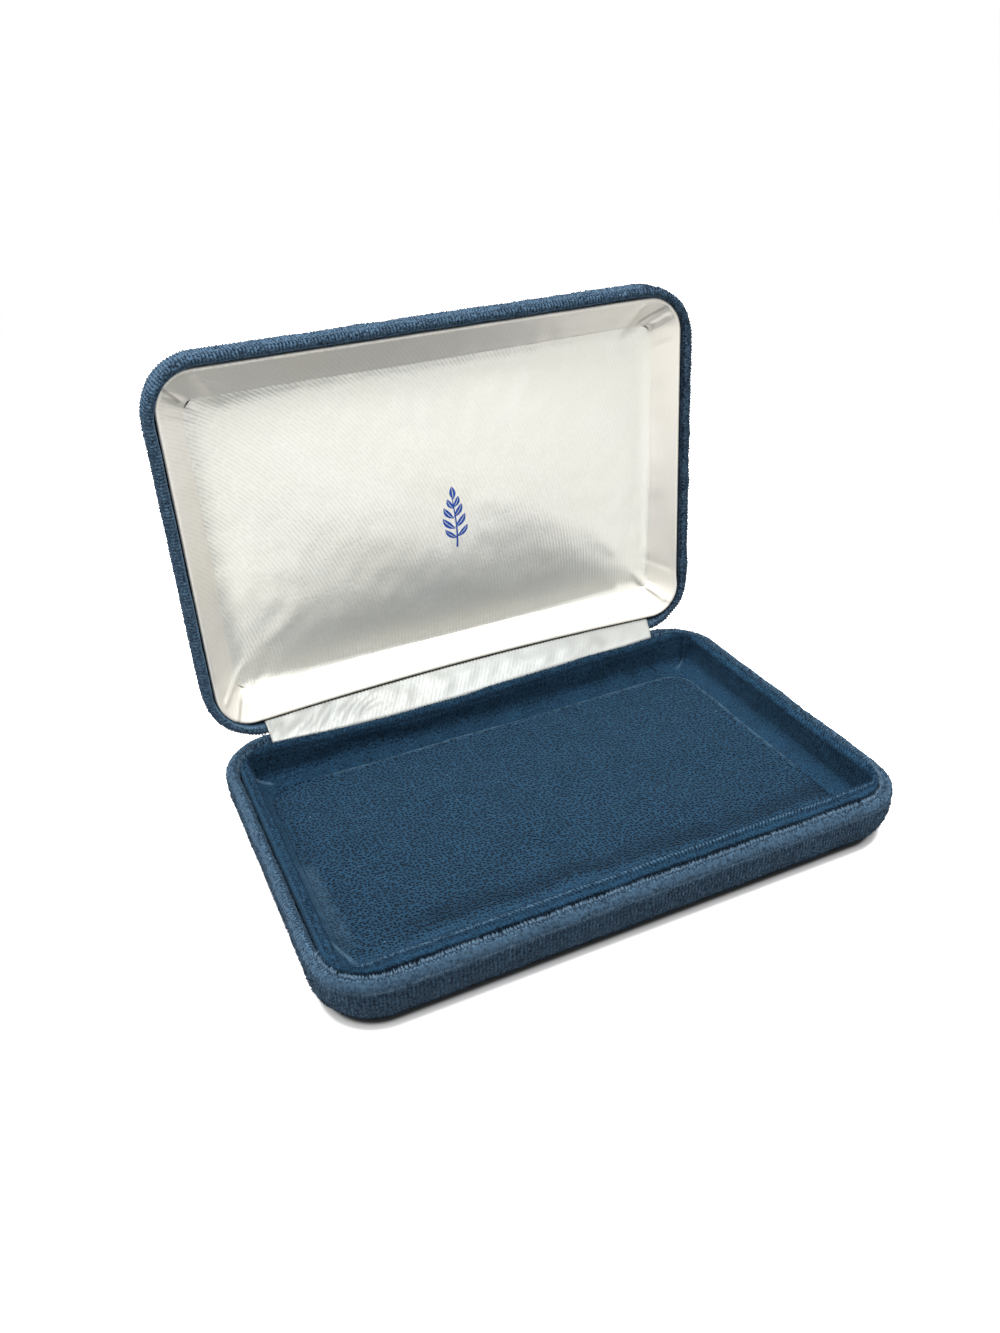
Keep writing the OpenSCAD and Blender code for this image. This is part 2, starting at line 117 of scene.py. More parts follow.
def outline(w, d, r, y, counts):
    """Stations round a rounded rectangle from the middle of its back, by way of the left side.
    Outlines with the same counts match station by station. Each station is a foot on the line of
    the corners' centres, a unit normal with its angle in degrees, and the rows of pile so far, as a length.
    """
    half, bend, side = counts
    hx, hy = w / 2 - r, d / 2 - r
    legs = [
        ((0, hy), (-hx, hy), 90, half, bend),
        ((-hx, hy), (-hx, -hy), 180, side, bend),
        ((-hx, -hy), (hx, -hy), 270, 2 * half, bend),
        ((hx, -hy), (hx, hy), 0, side, bend),
        ((hx, hy), (0, hy), 90, half, 0),
    ]
    foot = [np.concatenate([line(a, b, n), np.tile(b, (m, 1))]) for a, b, _, n, m in legs]
    angle = [
        np.concatenate([np.full(n, float(a)), a + 90 * np.arange(m) / max(m, 1)])
        for _, _, a, n, m in legs
    ]
    foot, angle = np.concatenate(foot), np.radians(np.concatenate(angle))
    normal = np.stack([np.cos(angle), np.sin(angle)], 1)
    rows = np.arange(len(foot) + 1) * ROW
    return dict(foot=foot + [0, y], normal=normal, r=r, rows=rows, turn=np.degrees(angle) % 360)


def ring(path):
    """The closed line of an outline: from each foot, the corner's radius out along the normal."""
    return path["foot"] + path["r"] * path["normal"]


def swept(path, section):
    """Points of a section carried round a path: inset n lies r - n out from the foot along the normal.
    The section is (inset, height), one row for all stations or one set of rows for each.
    """
    section = np.broadcast_to(section, (len(path["foot"]),) + np.shape(section)[-2:])
    out = (path["r"] - section[..., 0])[..., None] * path["normal"][:, None]
    return np.concatenate([path["foot"][:, None] + out, section[..., 1:2]], 2)


def section_normals(section):
    """Unit normals of a section that runs up the outside: its direction turned a quarter to the left."""
    d = np.gradient(section, axis=0)
    n = np.stack([-d[:, 1], d[:, 0]], 1)
    return n / np.maximum(np.linalg.norm(n, axis=1, keepdims=True), 1e-9)


def run_of(section):
    """Length along a section up to each of its points."""
    return np.append(0, np.cumsum(np.linalg.norm(np.diff(section, axis=0), axis=1)))


def to_centre(points, centre, n):
    """Rings from the last ring of a swept grid to a point: each a blend of the two, the last the point."""
    t = (np.arange(1, n + 1) / n)[None, :, None]
    return points[:, -1:] * (1 - t) + np.array(centre, float) * t


def ripple(points, size, seed, waves=14):
    """Smooth unevenness from -1 to 1: sines along random directions, with waves about size long."""
    rng = np.random.default_rng(seed)
    k = rng.normal(size=(waves, points.shape[-1]))
    wide = 2 * math.pi / size * rng.uniform(0.6, 1.5, (waves, 1))
    k *= wide / np.linalg.norm(k, axis=1, keepdims=True)
    total = np.zeros(points.shape[:-1])
    for direction, phase in zip(k, rng.uniform(0, 2 * math.pi, waves)):
        total += np.sin(points @ direction + phase)
    return total / math.sqrt(waves)


def step_up(x, a, b):
    """0 below a, 1 above b, and a smooth S between."""
    t = np.clip((x - a) / (b - a), 0, 1)
    return t * t * (3 - 2 * t)


def bell(x, middle, width):
    """Bell curve of height 1."""
    return np.exp(-(((x - middle) / width) ** 2))


def swing(points, angle=OPEN):
    """Turns points of the shut lid about the hinge line to where the lid stands open."""
    y, z = points[..., 1] - AXIS_Y, points[..., 2] - AXIS_Z
    c, s = math.cos(angle), math.sin(angle)
    return np.stack([points[..., 0], AXIS_Y + y * c + z * s, AXIS_Z - y * s + z * c], -1)


def lined(points):
    """Places points of the lid's lining, given with their depth below the rim, in the open lid."""
    return swing(points + [0, 0, LID_RIM])


def placed(name, data):
    """Adds an object with its data to the scene."""
    piece = bpy.data.objects.new(name, data)
    bpy.context.collection.objects.link(piece)
    return piece


def mesh_piece(name, verts, faces, uv, look, body, outward=None):
    """Makes the object from points in mm. Faces are index arrays, uv is one pair for each corner. Where
    outward isn't given, the faces are turned round if the volume inside them comes out below 0."""
    verts = np.asarray(verts, float) * 0.001
    if outward is None:
        volume = 0.0
        for f in faces:
            for k in range(1, f.shape[1] - 1):
                volume += (verts[f[:, 0]] * np.cross(verts[f[:, k]], verts[f[:, k + 1]])).sum()
        outward = volume > 0
    if not outward:
        faces, uv = ([part[:, ::-1] for part in parts] for parts in (faces, uv))
    sizes = np.concatenate([np.full(len(f), f.shape[1]) for f in faces])
    corners = np.concatenate([f.ravel() for f in faces])
    flat = np.concatenate([u.reshape(-1, 2) for u in uv])
    mesh = bpy.data.meshes.new(name)
    mesh.vertices.add(len(verts))
    mesh.vertices.foreach_set("co", verts.ravel())
    mesh.loops.add(len(corners))
    mesh.loops.foreach_set("vertex_index", corners.astype(np.int32))
    mesh.polygons.add(len(sizes))
    mesh.polygons.foreach_set("loop_start", (np.cumsum(sizes) - sizes).astype(np.int32))
    layer = mesh.uv_layers.new(name="cloth")
    layer.data.foreach_set("uv", flat.astype(np.float32).ravel())
    mesh.update(calc_edges=True)
    mesh.polygons.foreach_set("use_smooth", np.ones(len(sizes), bool))
    mesh.validate()
    mesh.materials.append(look.material)
    piece = placed(name, mesh)
    if body:
        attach(piece, body)
    return piece


def grid_faces(points, u, v, round_u, round_v, poles=False):
    """Vertices, faces and corner uv of a grid that may close in either direction or end in two poles.
    u and v have one value more than the grid where it closes, so that the pattern meets its seam.
    """
    nu, nv = points.shape[:2]
    i = np.arange(nu if round_u else nu - 1)[:, None]
    j = np.arange(nv if round_v else nv - 1)[None, :]
    i, j = (a.ravel() for a in np.broadcast_arrays(i, j))
    index = np.arange(nu * nv).reshape(nu, nv)
    if poles:
        index[:, 0], index[:, -1] = index[0, 0], index[0, -1]
    ii = np.stack([i, i + 1, i + 1, i], 1)
    jj = np.stack([j, j, j + 1, j + 1], 1)
    quads = index[ii % nu, jj % nv]
    uv = np.stack([u[ii], v[jj]], -1)
    faces, uvs = [], []
    first, last = poles & (j == 0), poles & (j == nv - 2)
    for at, keep in ((~(first | last), [0, 1, 2, 3]), (first, [0, 2, 3]), (last, [0, 1, 2])):
        if at.any():
            faces.append(quads[at][:, keep])
            uvs.append(uv[at][:, keep])
    used, place = np.unique(np.concatenate([f.ravel() for f in faces]), return_inverse=True)
    split = np.split(place, np.cumsum([f.size for f in faces])[:-1])
    faces = [p.reshape(f.shape) for p, f in zip(split, faces)]
    return points.reshape(-1, 3)[used], faces, uvs


def grid_piece(name, node, points, rows, look, body, v=None, round_v=False, poles=False):
    """The piece that stands for a node: one grid, closed round the case. rows and v are its map in mm;
    where v isn't given, it counts the points of the section."""
    v = np.arange(points.shape[1] + 1) if v is None else v
    verts, faces, uv = grid_faces(points, rows / MAP_UNIT, v / MAP_UNIT, True, round_v, poles)
    piece = mesh_piece(name, verts, faces, uv, look, body)
    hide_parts(node)
    return piece


def normals_of(points):
    """Unit normals of a grid closed in its first direction: the cross product of its two slopes."""
    n = np.cross(np.roll(points, -1, 0) - np.roll(points, 1, 0), np.gradient(points, axis=1))
    return n / np.maximum(np.linalg.norm(n, axis=2, keepdims=True), 1e-12)


# ---- finishes


def operator(operation, swapped=False):
    """A method of Value that adds a Math node, with the value itself first or, swapped, last."""
    def method(self, *others):
        values = (*others, self) if swapped else (self, *others)
        return self.look.node("ShaderNodeMath", {"operation": operation}, dict(enumerate(values)))

    return method


class Value:
    """A number, colour or vector in a finish. Python's operators on numbers add its Math nodes."""

    def __init__(self, look, socket):
        self.look, self.socket = look, socket

    __add__ = __radd__ = operator("ADD")
    __mul__ = __rmul__ = operator("MULTIPLY")
    __sub__, __rsub__ = operator("SUBTRACT"), operator("SUBTRACT", True)
    __truediv__, __abs__ = operator("DIVIDE"), operator("ABSOLUTE")
    sine, root, greater = operator("SINE"), operator("SQRT"), operator("MAXIMUM")

    def between(self, a, b):
        """0 at a, 1 at b, with a smooth S between."""
        settings = {"interpolation_type": "SMOOTHSTEP", "clamp": True}
        return self.look.node("ShaderNodeMapRange", settings, {0: self, 1: float(a), 2: float(b)})

    def band(self, a, b, c, d):
        """1 from b to c, and 0 before a and after d."""
        return self.between(a, b) * (1 - self.between(c, d))

    def parts(self):
        """The three numbers of a vector."""
        tree = self.look.tree
        node = tree.nodes.new("ShaderNodeSeparateXYZ")
        tree.links.new(self.socket, node.inputs[0])
        return [Value(self.look, socket) for socket in node.outputs]

    def stretched(self, *scale):
        """A vector whose three numbers are each multiplied by their own scale."""
        return self.look.node("ShaderNodeVectorMath", {"operation": "MULTIPLY"}, {0: self, 1: scale})

    def noise(self, size, detail=2.0, rough=0.5, twist=0.0):
        """Noise over a vector, from about 0.3 to 0.7, its grains about size millimetres wide."""
        inputs = {"Vector": self, "Scale": 1 / size, "Detail": detail, "Roughness": rough}
        return self.look.node("ShaderNodeTexNoise", {}, {**inputs, "Distortion": twist})

    def spots(self, size, loose=1.0, space="3D"):
        """Distance from the nearest of many points, in parts of size. They stand size apart on a lattice
        where loose is 0, and are scattered where it is 1."""
        inputs = {"Vector": self, "Scale": 1 / size, "Randomness": loose}
        return self.look.node("ShaderNodeTexVoronoi", {"voronoi_dimensions": space}, inputs)

    def bump(self, distance, strength=1.0):
        """A normal that follows a height, which is worth distance millimetres."""
        inputs = {"Height": self, "Strength": strength, "Distance": distance * 0.001}
        return self.look.node("ShaderNodeBump", {}, inputs)


# Short names of the shader's sockets
SOCKETS = {
    "colour": "Base Color",
    "rough": "Roughness",
    "metal": "Metallic",
    "shine": "Specular IOR Level",
    "sheen": "Sheen Weight",
    "sheen_rough": "Sheen Roughness",
    "sheen_tint": "Sheen Tint",
    "normal": "Normal",
}


class Nodes:
    """The nodes of a finish or of the sky, and what is made with them."""

    def __init__(self, tree):
        self.tree = tree

    def node(self, kind, settings=(), inputs=(), output=0):
        """Adds a node: its settings first, then the values or links of its sockets."""
        node = self.tree.nodes.new(kind)
        for key, value in dict(settings).items():
            setattr(node, key, value)
        for key, value in dict(inputs).items():
            if isinstance(value, Value):
                self.tree.links.new(value.socket, node.inputs[key])
            else:
                node.inputs[key].default_value = value
        return Value(self, node.outputs[output])

    def place(self):
        """Object coordinates in millimetres, as a vector."""
        where = self.node("ShaderNodeTexCoord", output="Object")
        return where.stretched(1000, 1000, 1000)

    def cloth(self):
        """The piece's own cloth map, in millimetres, as a vector."""
        where = self.node("ShaderNodeUVMap", {"uv_map": "cloth"})
        return where.stretched(MAP_UNIT, MAP_UNIT, MAP_UNIT)

    def mix(self, factor, a, b):
        """Colour a where the factor is 0, and b where it is 1."""
        a, b = (v if isinstance(v, Value) else (*v, 1) for v in (a, b))
        settings = {"data_type": "RGBA", "clamp_factor": True}
        return self.node("ShaderNodeMix", settings, {0: factor, 6: a, 7: b}, 2)

    def specks(self, colour, vector, size, above, weight, hue):
        """A colour with specks of another, hue, where a noise rises through the range above."""
        here = vector.noise(size, 1).between(*above)
        return self.mix(here * weight, colour, srgb(*hue))

    def seen(self, *rays):
        """1 for a ray of one of the given kinds, else 0."""
        path = [self.node("ShaderNodeLightPath", output="Is %s Ray" % ray) for ray in rays]
        total = path[0]
        for other in path[1:]:
            total = total.greater(other)
        return total

    def show(self, value, output):
        """Links a shader to the output node."""
        self.tree.links.new(value.socket, self.tree.nodes[output].inputs["Surface"])


class Look(Nodes):
    """One finish: a material whose numbers that stay the same are set on the shader itself."""

    def __init__(self, name, **constants):
        self.material = bpy.data.materials.new(name)
        self.material.use_nodes = True
        super().__init__(self.material.node_tree)
        self.shader = self.tree.nodes["Principled BSDF"]
        for key, value in constants.items():
            self.shader.inputs[SOCKETS[key]].default_value = value

    def feed(self, **links):
        """Links the values that vary to the shader."""
        for key, value in links.items():
            self.tree.links.new(value.socket, self.shader.inputs[SOCKETS[key]])
        return self


def streak(x, y, a, b, width):
    """How near a point is to the line from a to b: 1 on it, 0 at width from it and beyond its ends."""
    way = np.subtract(b, a)
    size = float(np.linalg.norm(way))
    wx, wy = (float(n) for n in way / size)
    dx, dy = x - float(a[0]), y - float(a[1])
    along = (dx * wx + dy * wy) / size
    across = 1 - abs(dx * wy - dy * wx).between(width * 0.25, width)
    return across * along.between(-0.1, 0.15) * (1 - along.between(0.85, 1.1))


def srgb(r, g, b):
    """A colour given as 0 to 255 on a screen, as the shader counts it."""
    c = np.array([r, g, b]) / 255
    return tuple(np.where(c <= 0.04045, c / 12.92, ((c + 0.055) / 1.055) ** 2.4))


def outer_velvet(name, crest, base):
    """Cotton velvet in upright ribs, one to each row of the cloth map, stippled with the ends of its pile.
    The flat faces, where the rows run together, show the nap alone. crest is the length along the section
    at which the rim is highest: on the base the pile is brushed flat before it, in a band that is also
    painted lighter as lit, stands up as a fringe after it, and opens in a line of pale ticks where the flat
    band begins. Painted shade darkens the groove behind the rim, the wall below the band and the foot. The
    fringe is pitted at both ends and painted lighter there, most at the left, as lit. On the lid a dark line
    parts the wall from the rim; the lid is painted lighter at the left, as lit, its rim's inner side is
    lighter, and the right of its rim and inner side is painted darker, as shaded."""
    tint = (*srgb(135, 168, 200), 1)
    look = Look(name, rough=0.9, shine=0.12, sheen=0.5, sheen_rough=0.4, sheen_tint=tint)
    where, cloth = look.place(), look.cloth()
    x, _, z = where.parts()
    u, v, _ = cloth.parts()
    run = v - crest
    nap = where.noise(9, 3, 0.6).between(0.34, 0.66)
    grain = where.spots(1.0 if base else 0.85, 0.9).between(0.14, 0.62)
    fleck = where.noise(0.75, 3, 0.7).between(0.36, 0.64)
    wander = where.noise(5, 2) * 2.4
    thread = cloth.stretched(1.0, 0.4, 1).noise(0.6, 2, 0.6)
    ribs = (u * RIB_PHASE + wander + 0.4).sine() * 0.5 + 0.5
    ribs = ribs * thread.between(0.34, 0.56)
    face = 1 - v.between(6, 18)
    ribs = ribs + (nap * 0.24 + 0.13 - ribs) * face
    thread = thread + (nap - thread) * face
    if base:
        band, ticks = run.band(-3.6, -3.0, -0.3, 0.4), run.band(-4.0, -3.6, -3.2, -2.8)
        left, right = 1 - x.between(-84, -76), x.between(74, 82)
        # painted shade in the groove behind the rim, strongest at the left
        groove_shade = run.between(1.6, 2.3) * (x.between(-84, -64) * 0.8 + 0.2)
        fringe = run.between(-0.4, 0.5)
        # painted shade: the wall below the flat band and the underside are made darker
        wall = (1 - run.between(-4.9, -4.0)) * 0.26
        pits = 1 - where.spots(1.0, 0.9).between(0.2, 0.42)
        tone = nap * 0.14 + fleck * 0.26 + ribs * (0.44 - band * 0.26)
        # painted light: the flat band is made lighter, as the upper wall catches light, besides being
        # brushed flat and greyed
        tone = tone + (grain - 0.5) * (fringe * 0.6 + 0.4) + band * 0.2 + fringe * 0.22 - wall
        # painted light: the fringe is made lighter at its left and right ends, most at the left, as lit
        # there
        tone = tone - groove_shade * 0.35 + (left * 0.45 + right * 0.2) * fringe + 0.02
        tone = tone - pits * (left * 0.5 + right * 0.3) * fringe
        colour = look.mix(tone, srgb(6, 19, 33), srgb(76, 106, 130))
        colour = look.mix(band * 0.4, colour, srgb(50, 70, 88))
        pale = ticks * (ribs * 0.7 + 0.3) * where.noise(3.0, 2).between(0.3, 0.45)
        # painted shade at the foot, darkened towards black where the wall curves under onto the floor
        foot = 1 - z.between(0.8, 3.2)
        colour = look.mix(foot * 0.6, colour, srgb(8, 16, 26))
    else:
        rim, part = run.between(-2.4, -1.7), run.band(-3.4, -2.7, -2.3, -1.8)
        right, left = x.between(62, 76), 1 - x.between(-84, -74)
        tone = nap * 0.2 + fleck * 0.3 + ribs * 0.16 + (grain - 0.5) * (rim * 0.5 + 0.25)
        # painted light and shade: lighter at the left, as lit from there; the right of the rim and of its
        # inner side darker, as shaded; the rim's inner side otherwise lighter
        tone = tone + 0.36 - rim * 0.16 - part * 0.4 + run.between(0.9, 2.0) * (0.4 - right)
        tone = tone + left * 0.3 - right * rim * 0.16
        colour = look.mix(tone, srgb(7, 21, 37), srgb(86, 114, 138))
        pale = where.noise(1.4, 4, 0.6).between(0.56, 0.68) * 0.3 * (1 - rim)
    colour = look.mix(pale * 0.85, colour, srgb(126, 152, 176))
    colour = look.specks(colour, where, 1.1, (0.79, 0.82), 0.7, (140, 160, 178))
    height = fleck * 0.3 + grain * 0.4 + ribs * 0.6 + thread * 0.2
    return look.feed(colour=colour, normal=height.bump(0.45, 0.9))


def pile_look(name, low, high, tip):
    """Finish of loose tufts: the map's first number is the tuft's tone and its second the height up it."""
    look = Look(name, rough=0.9, shine=0.1, sheen=0.25, sheen_rough=0.5, sheen_tint=(*tip, 1))
    tone, up, _ = look.node("ShaderNodeUVMap", {"uv_map": "cloth"}).parts()
    return look.feed(colour=look.mix(tone + up * 0.25 - 0.1, low, high))


# Pale folds in the tray, painted highlights along their ridges, the last a broad pale smear on the left:
# ends (x, y), half width, and how much paler the pile is there
TRAY_FOLDS = [
    ((-75.4, 46.2), (-69.2, 43.6), 0.6, 0.42),
    ((-73.2, -27), (-68.6, -38.4), 0.9, 0.5),
    ((77, 46.4), (70.6, 43.4), 0.7, 0.34),
    ((-71.4, 6), (-70.4, -30), 4.2, 0.17),
]


def tray_velvet(name, floor):
    """Darker plush of the tray, a dense nap with pits of shade. On the floor the pits stand in rows, a band
    of painted shade runs along the front with the nap smooth and lighter before it, and the crease at the
    edge of the panel carries a painted highlight at the back and right. On the wall the roll's crown and
    inner edge carry painted highlights, its outer side lies in painted shade, the right wall is painted
    lighter, and the back is pitted most and painted darker, as shaded. The folds are paler on both, painted
    highlights along their ridges, and a broad pale smear lies on the left."""
    tint = (*srgb(110, 155, 190), 1)
    look = Look(name, rough=0.92, shine=0.1, sheen=0.28, sheen_rough=0.4, sheen_tint=tint)
    where, cloth = look.place(), look.cloth()
    x, y, z = where.parts()
    u, v, _ = cloth.parts()
    cloud = where.noise(6, 3, 0.6).between(0.34, 0.66)
    fleck = where.noise(0.5, 2, 0.6).between(0.38, 0.62)
    patch = where.noise(3.0, 3).between(0.36, 0.6)
    if floor:
        pits = 1 - where.spots(1.0, 0.75, "2D").between(0.2, 0.42)
        path = y + x * 0.01 + (where.noise(30, 2) - 0.5) * 9
        dark, ahead = path.band(-34.5, -32.5, -30.5, -25), 1 - path.between(-36, -33)
        tone = cloud * 0.14 + fleck * 0.26 + 0.34 - pits * (patch * 0.4 + 1.1) * (1 - ahead * 0.7)
        # painted shade in a band along the front of the floor, behind the bead, except at the left; lighter
        # before it
        tone = tone - dark * x.between(-64, -44) * 0.26 + ahead * 0.12
        # painted highlight along the crease at the panel's edge, with a paler halo beside it, at the back
        # and right
        lip = z.between(4.6, 4.76) * (1 - v.between(15, 18))
        halo = v.band(9.5, 13.5, 14.5, 23)
        highlights_and_smear = (lip * 0.2 + halo * 0.2) * (patch * 0.6 + 0.5)
        highlights_and_smear = highlights_and_smear * x.between(-60, -46) * y.between(-26, -12)
        fade = 0.6
    else:
        pits = 1 - where.spots(1.0, 0.8).between(0.14, 0.45)
        rows = (u * RIB_PHASE + cloud).sine() * 0.5 + 0.5
        bead, edge = z.between(14.0, 16.4), v.band(7.2, 7.7, 8.0, 8.8)
        front, back = 1 - y.between(-50, -44), y.between(43, 47)
        crown = v.band(4.5, 5.0, 5.8, 6.5) * (front * 0.5 + 0.25)
        shade = (1 - v.between(2.3, 3.4)) * (x.between(-80, -66) * 0.4 + front * 0.3 + 0.2)
        tone = cloud * 0.14 + fleck * 0.3 + rows * (0.06 + bead * 0.12) + bead * 0.04
        # painted light lifts the right wall's shade; the back is painted darker and more pitted, as shaded
        tone = tone + x.between(60, 72) * 0.12 + 0.24 - pits * (patch * 0.36 + back * 0.3)
        # painted highlights on the roll's crown and on its inner edge
        tone = tone + edge * 0.26 + crown * (1 - back) - shade - back * 0.06
        highlights_and_smear = crown * front * 0.8
        fade = 0.7 - front * 0.7
    # pale folds: painted highlights along their ridges, and the last a broad pale smear
    for a, b, wide, light in TRAY_FOLDS:
        highlights_and_smear = highlights_and_smear + streak(x, y, a, b, wide) * (light * cloud.between(-0.6, 0.8))
    highlights_and_smear = highlights_and_smear * (1 - z.between(8, 11) * fade)
    colour = look.mix(tone, srgb(1, 12, 24), srgb(41, 77, 105))
    colour = look.mix(highlights_and_smear, colour, srgb(98, 128, 150))
    colour = look.specks(colour, where, 1.3, (0.8, 0.83), 0.6, (120, 150, 176))
    height = fleck * 0.5 - pits * 0.5
    return look.feed(colour=colour, normal=height.bump(0.5, 0.9))


# Where the twill lines of the lid's satin turn about, on the shut lining; how far apart they are there and
# on the strip, and how far apart the teeth of the strip's cut edge are
TWILL_TURN = (-122.0, 42.0)
LID_TWILL, STRIP_TWILL, TEETH = 1.08, 1.1, 1.15

# Sharp creases at the corners of the lid's satin, painted as shade: ends (x, y of the shut lining), half
# width, darkness
CREASES = [
    ((-76.6, -49.6), (-71.8, -44.2), 0.7, 0.5),
    ((74.4, -50), (66.2, -45.2), 0.8, 0.4),
    ((-75.4, 53), (-71.2, 45), 0.8, 0.4),
    ((76, 48.6), (66.8, 41.6), 0.9, 0.45),
]


def twill_satin(name, hue, lines=1.0, gloss=0.36, lid=True):
    """Cotton-backed satin. On the lid its twill lines are arcs about a point, as the cloth is pulled, with
    creases at the corners painted in shade. On the strip they are straight; painted shade lies along its
    edge where it tucks under the lining, with a toothed border, folds of shade cross its left end, and a
    streak of painted shade crosses its right half."""
    tint = (1, 0.99, 0.96, 1)
    look = Look(name, shine=0.45, metal=0.3, sheen=0.2, sheen_rough=0.35, sheen_tint=tint)
    cloth = look.cloth()
    u, v, _ = cloth.parts()
    pull = cloth.noise(40, 2) * 7
    if lid:
        shade = 0.0
        for a, b, wide, dark in CREASES:
            shade = shade + streak(u, v, a, b, wide) * dark
        dx, dy = u - TWILL_TURN[0], v - TWILL_TURN[1]
        away = (dx * dx + dy * dy).root()
        phase = away * (2 * math.pi / LID_TWILL) + pull
        clear = 1 - away.between(110, 200) * 0.65
    else:
        phase, clear = (u * 0.8 + v * 0.6) * (2 * math.pi / STRIP_TWILL) + pull, 1.0
        teeth = (u * (2 * math.pi / TEETH)).sine() * 0.14
        # painted shade in the gap where the strip tucks under the lining's edge, broken by teeth
        shade = 1 - (v + teeth + cloth.noise(9, 2) * 0.5).between(4.5, 4.8)
        folds = ((u + v * 1.25) * 0.85 + cloth.noise(9, 2) * 9).sine() * 0.5 + 0.5
        shade = shade + folds * (1 - u.between(-46, -8)) * 0.13
        # a streak of painted shade
        shade = shade + streak(u, v, (34, 14), (48, 8), 4.0) * 0.16
    broken = cloth.noise(1.6, 3, 0.7).between(0.34, 0.56)
    twill = (phase.sine() * 0.5 + 0.5) * clear * broken
    thread = cloth.stretched(0.6, 2.2, 1).noise(0.45, 2, 0.6)
    slub = cloth.stretched(0.25, 1.0, 1).noise(3.5, 3, 0.55)
    age = cloth.noise(30, 3, 0.6).between(0.35, 0.7)
    light, dark = srgb(*hue), srgb(*(c * 0.9 for c in hue))
    colour = look.mix(twill * 0.5 * lines + thread * 0.3, light, dark)
    colour = look.mix(age * 0.2, colour, srgb(hue[0] * 0.97, hue[1] * 0.95, hue[2] * 0.89))
    colour = look.specks(colour, cloth, 1.0, (0.83, 0.85), 0.55, (120, 112, 98))
    colour = look.mix(shade, colour, srgb(66, 64, 58))
    rough = (twill * 0.6 + thread * 0.4).between(0.1, 0.9) * 0.16 + gloss
    height = twill * lines + thread * 0.25 + slub * 0.5
    return look.feed(colour=colour, rough=rough, normal=height.bump(0.09, 0.8))


def ink(name):
    """Printing ink that has sunk between the threads."""
    look = Look(name, rough=0.6, shine=0.2)
    where = look.place()
    thread = where.noise(0.35, 2, 0.7)
    colour = look.mix(thread.between(0.42, 0.75), srgb(34, 72, 158), srgb(84, 118, 188))
    return look.feed(colour=colour, normal=thread.bump(0.04))


def pressed_card(name, dark, pale, grain):
    """Pressed board: felted fibres with darker flecks."""
    look = Look(name, rough=0.85, shine=0.2)
    where = look.place()
    felt = where.noise(grain, 4, 0.65)
    fleck = where.stretched(1, 0.3, 1).noise(0.5, 2).between(0.6, 0.7)
    colour = look.mix(felt.between(0.3, 0.7), dark, pale)
    colour = look.mix(fleck * 0.5, colour, tuple(c * 0.5 for c in dark))
    return look.feed(colour=colour, normal=felt.bump(0.08))


def fibres(name):
    """Cotton wadding: matted white fibres."""
    look = Look(name, rough=0.95, shine=0.1, sheen=0.3)
    where = look.place()
    mat = where.stretched(1, 2.2, 1).noise(1.4, 5, 0.7, 1.2)
    colour = look.mix(mat.between(0.3, 0.7), srgb(214, 209, 196), srgb(240, 238, 230))
    return look.feed(colour=colour, normal=mat.bump(0.4))


def worn_metal(name, bright, dull, brushed, roughness):
    """Plated metal, rubbed bright, with a dull bloom and fine scratches along its length."""
    look = Look(name, metal=1.0)
    where = look.place()
    bloom = where.noise(2.5, 4, 0.6).between(0.4, 0.66)
    scratch = where.stretched(*brushed).noise(0.12, 2, 0.6)
    colour = look.mix(bloom, bright, dull)
    rough = bloom * 0.22 + scratch.between(0.35, 0.7) * 0.12 + roughness
    return look.feed(colour=colour, rough=rough, normal=scratch.bump(0.02))


# ---- velvet covers


def pan_section(h, rim):
    """Section of a pan's velvet: out along the bottom, up the outer wall, over the rim, which is rim wide,
    down inside, and back along its inner face. Returns (inset, height) and how far the pile may vary."""
    top, cap, tuck = h - RIM_R, rim / 2, h - TURN_IN
    section, free = joined([
        (line((FACE_IN, 0), (EDGE_R, 0), 4), 0.0),
        (arc((EDGE_R, EDGE_R), EDGE_R, 270, 180, 24), 1.0),
        (bent((0, EDGE_R, round((top - EDGE_R) / 0.42)), (0, top, 1), (0, h - cap)), 1.0),
        (arc((cap, h - cap), cap, 180, 0, 18), 1.0),
        (line((rim, h - cap), (rim, tuck), 8), 0.5),
        (bent((rim, tuck, 2), (TURN_FOOT, tuck, 4), (TURN_TOP, top)), 0.0),
        (arc((RIM_R, top), RIM_R - VELVET, 0, 180, 6), 0.0),
        (line((VELVET, top), (VELVET, EDGE_R), 3), 0.0),
        (arc((EDGE_R, EDGE_R), EDGE_R - VELVET, 180, 270, 8), 0.0),
        (line((EDGE_R, VELVET), (FACE_IN, VELVET), 2), 0.0),
        ([(FACE_IN, VELVET)], 0.0),
    ])
    return section, free * step_up(section[:, 1], 0.2, 2.0)


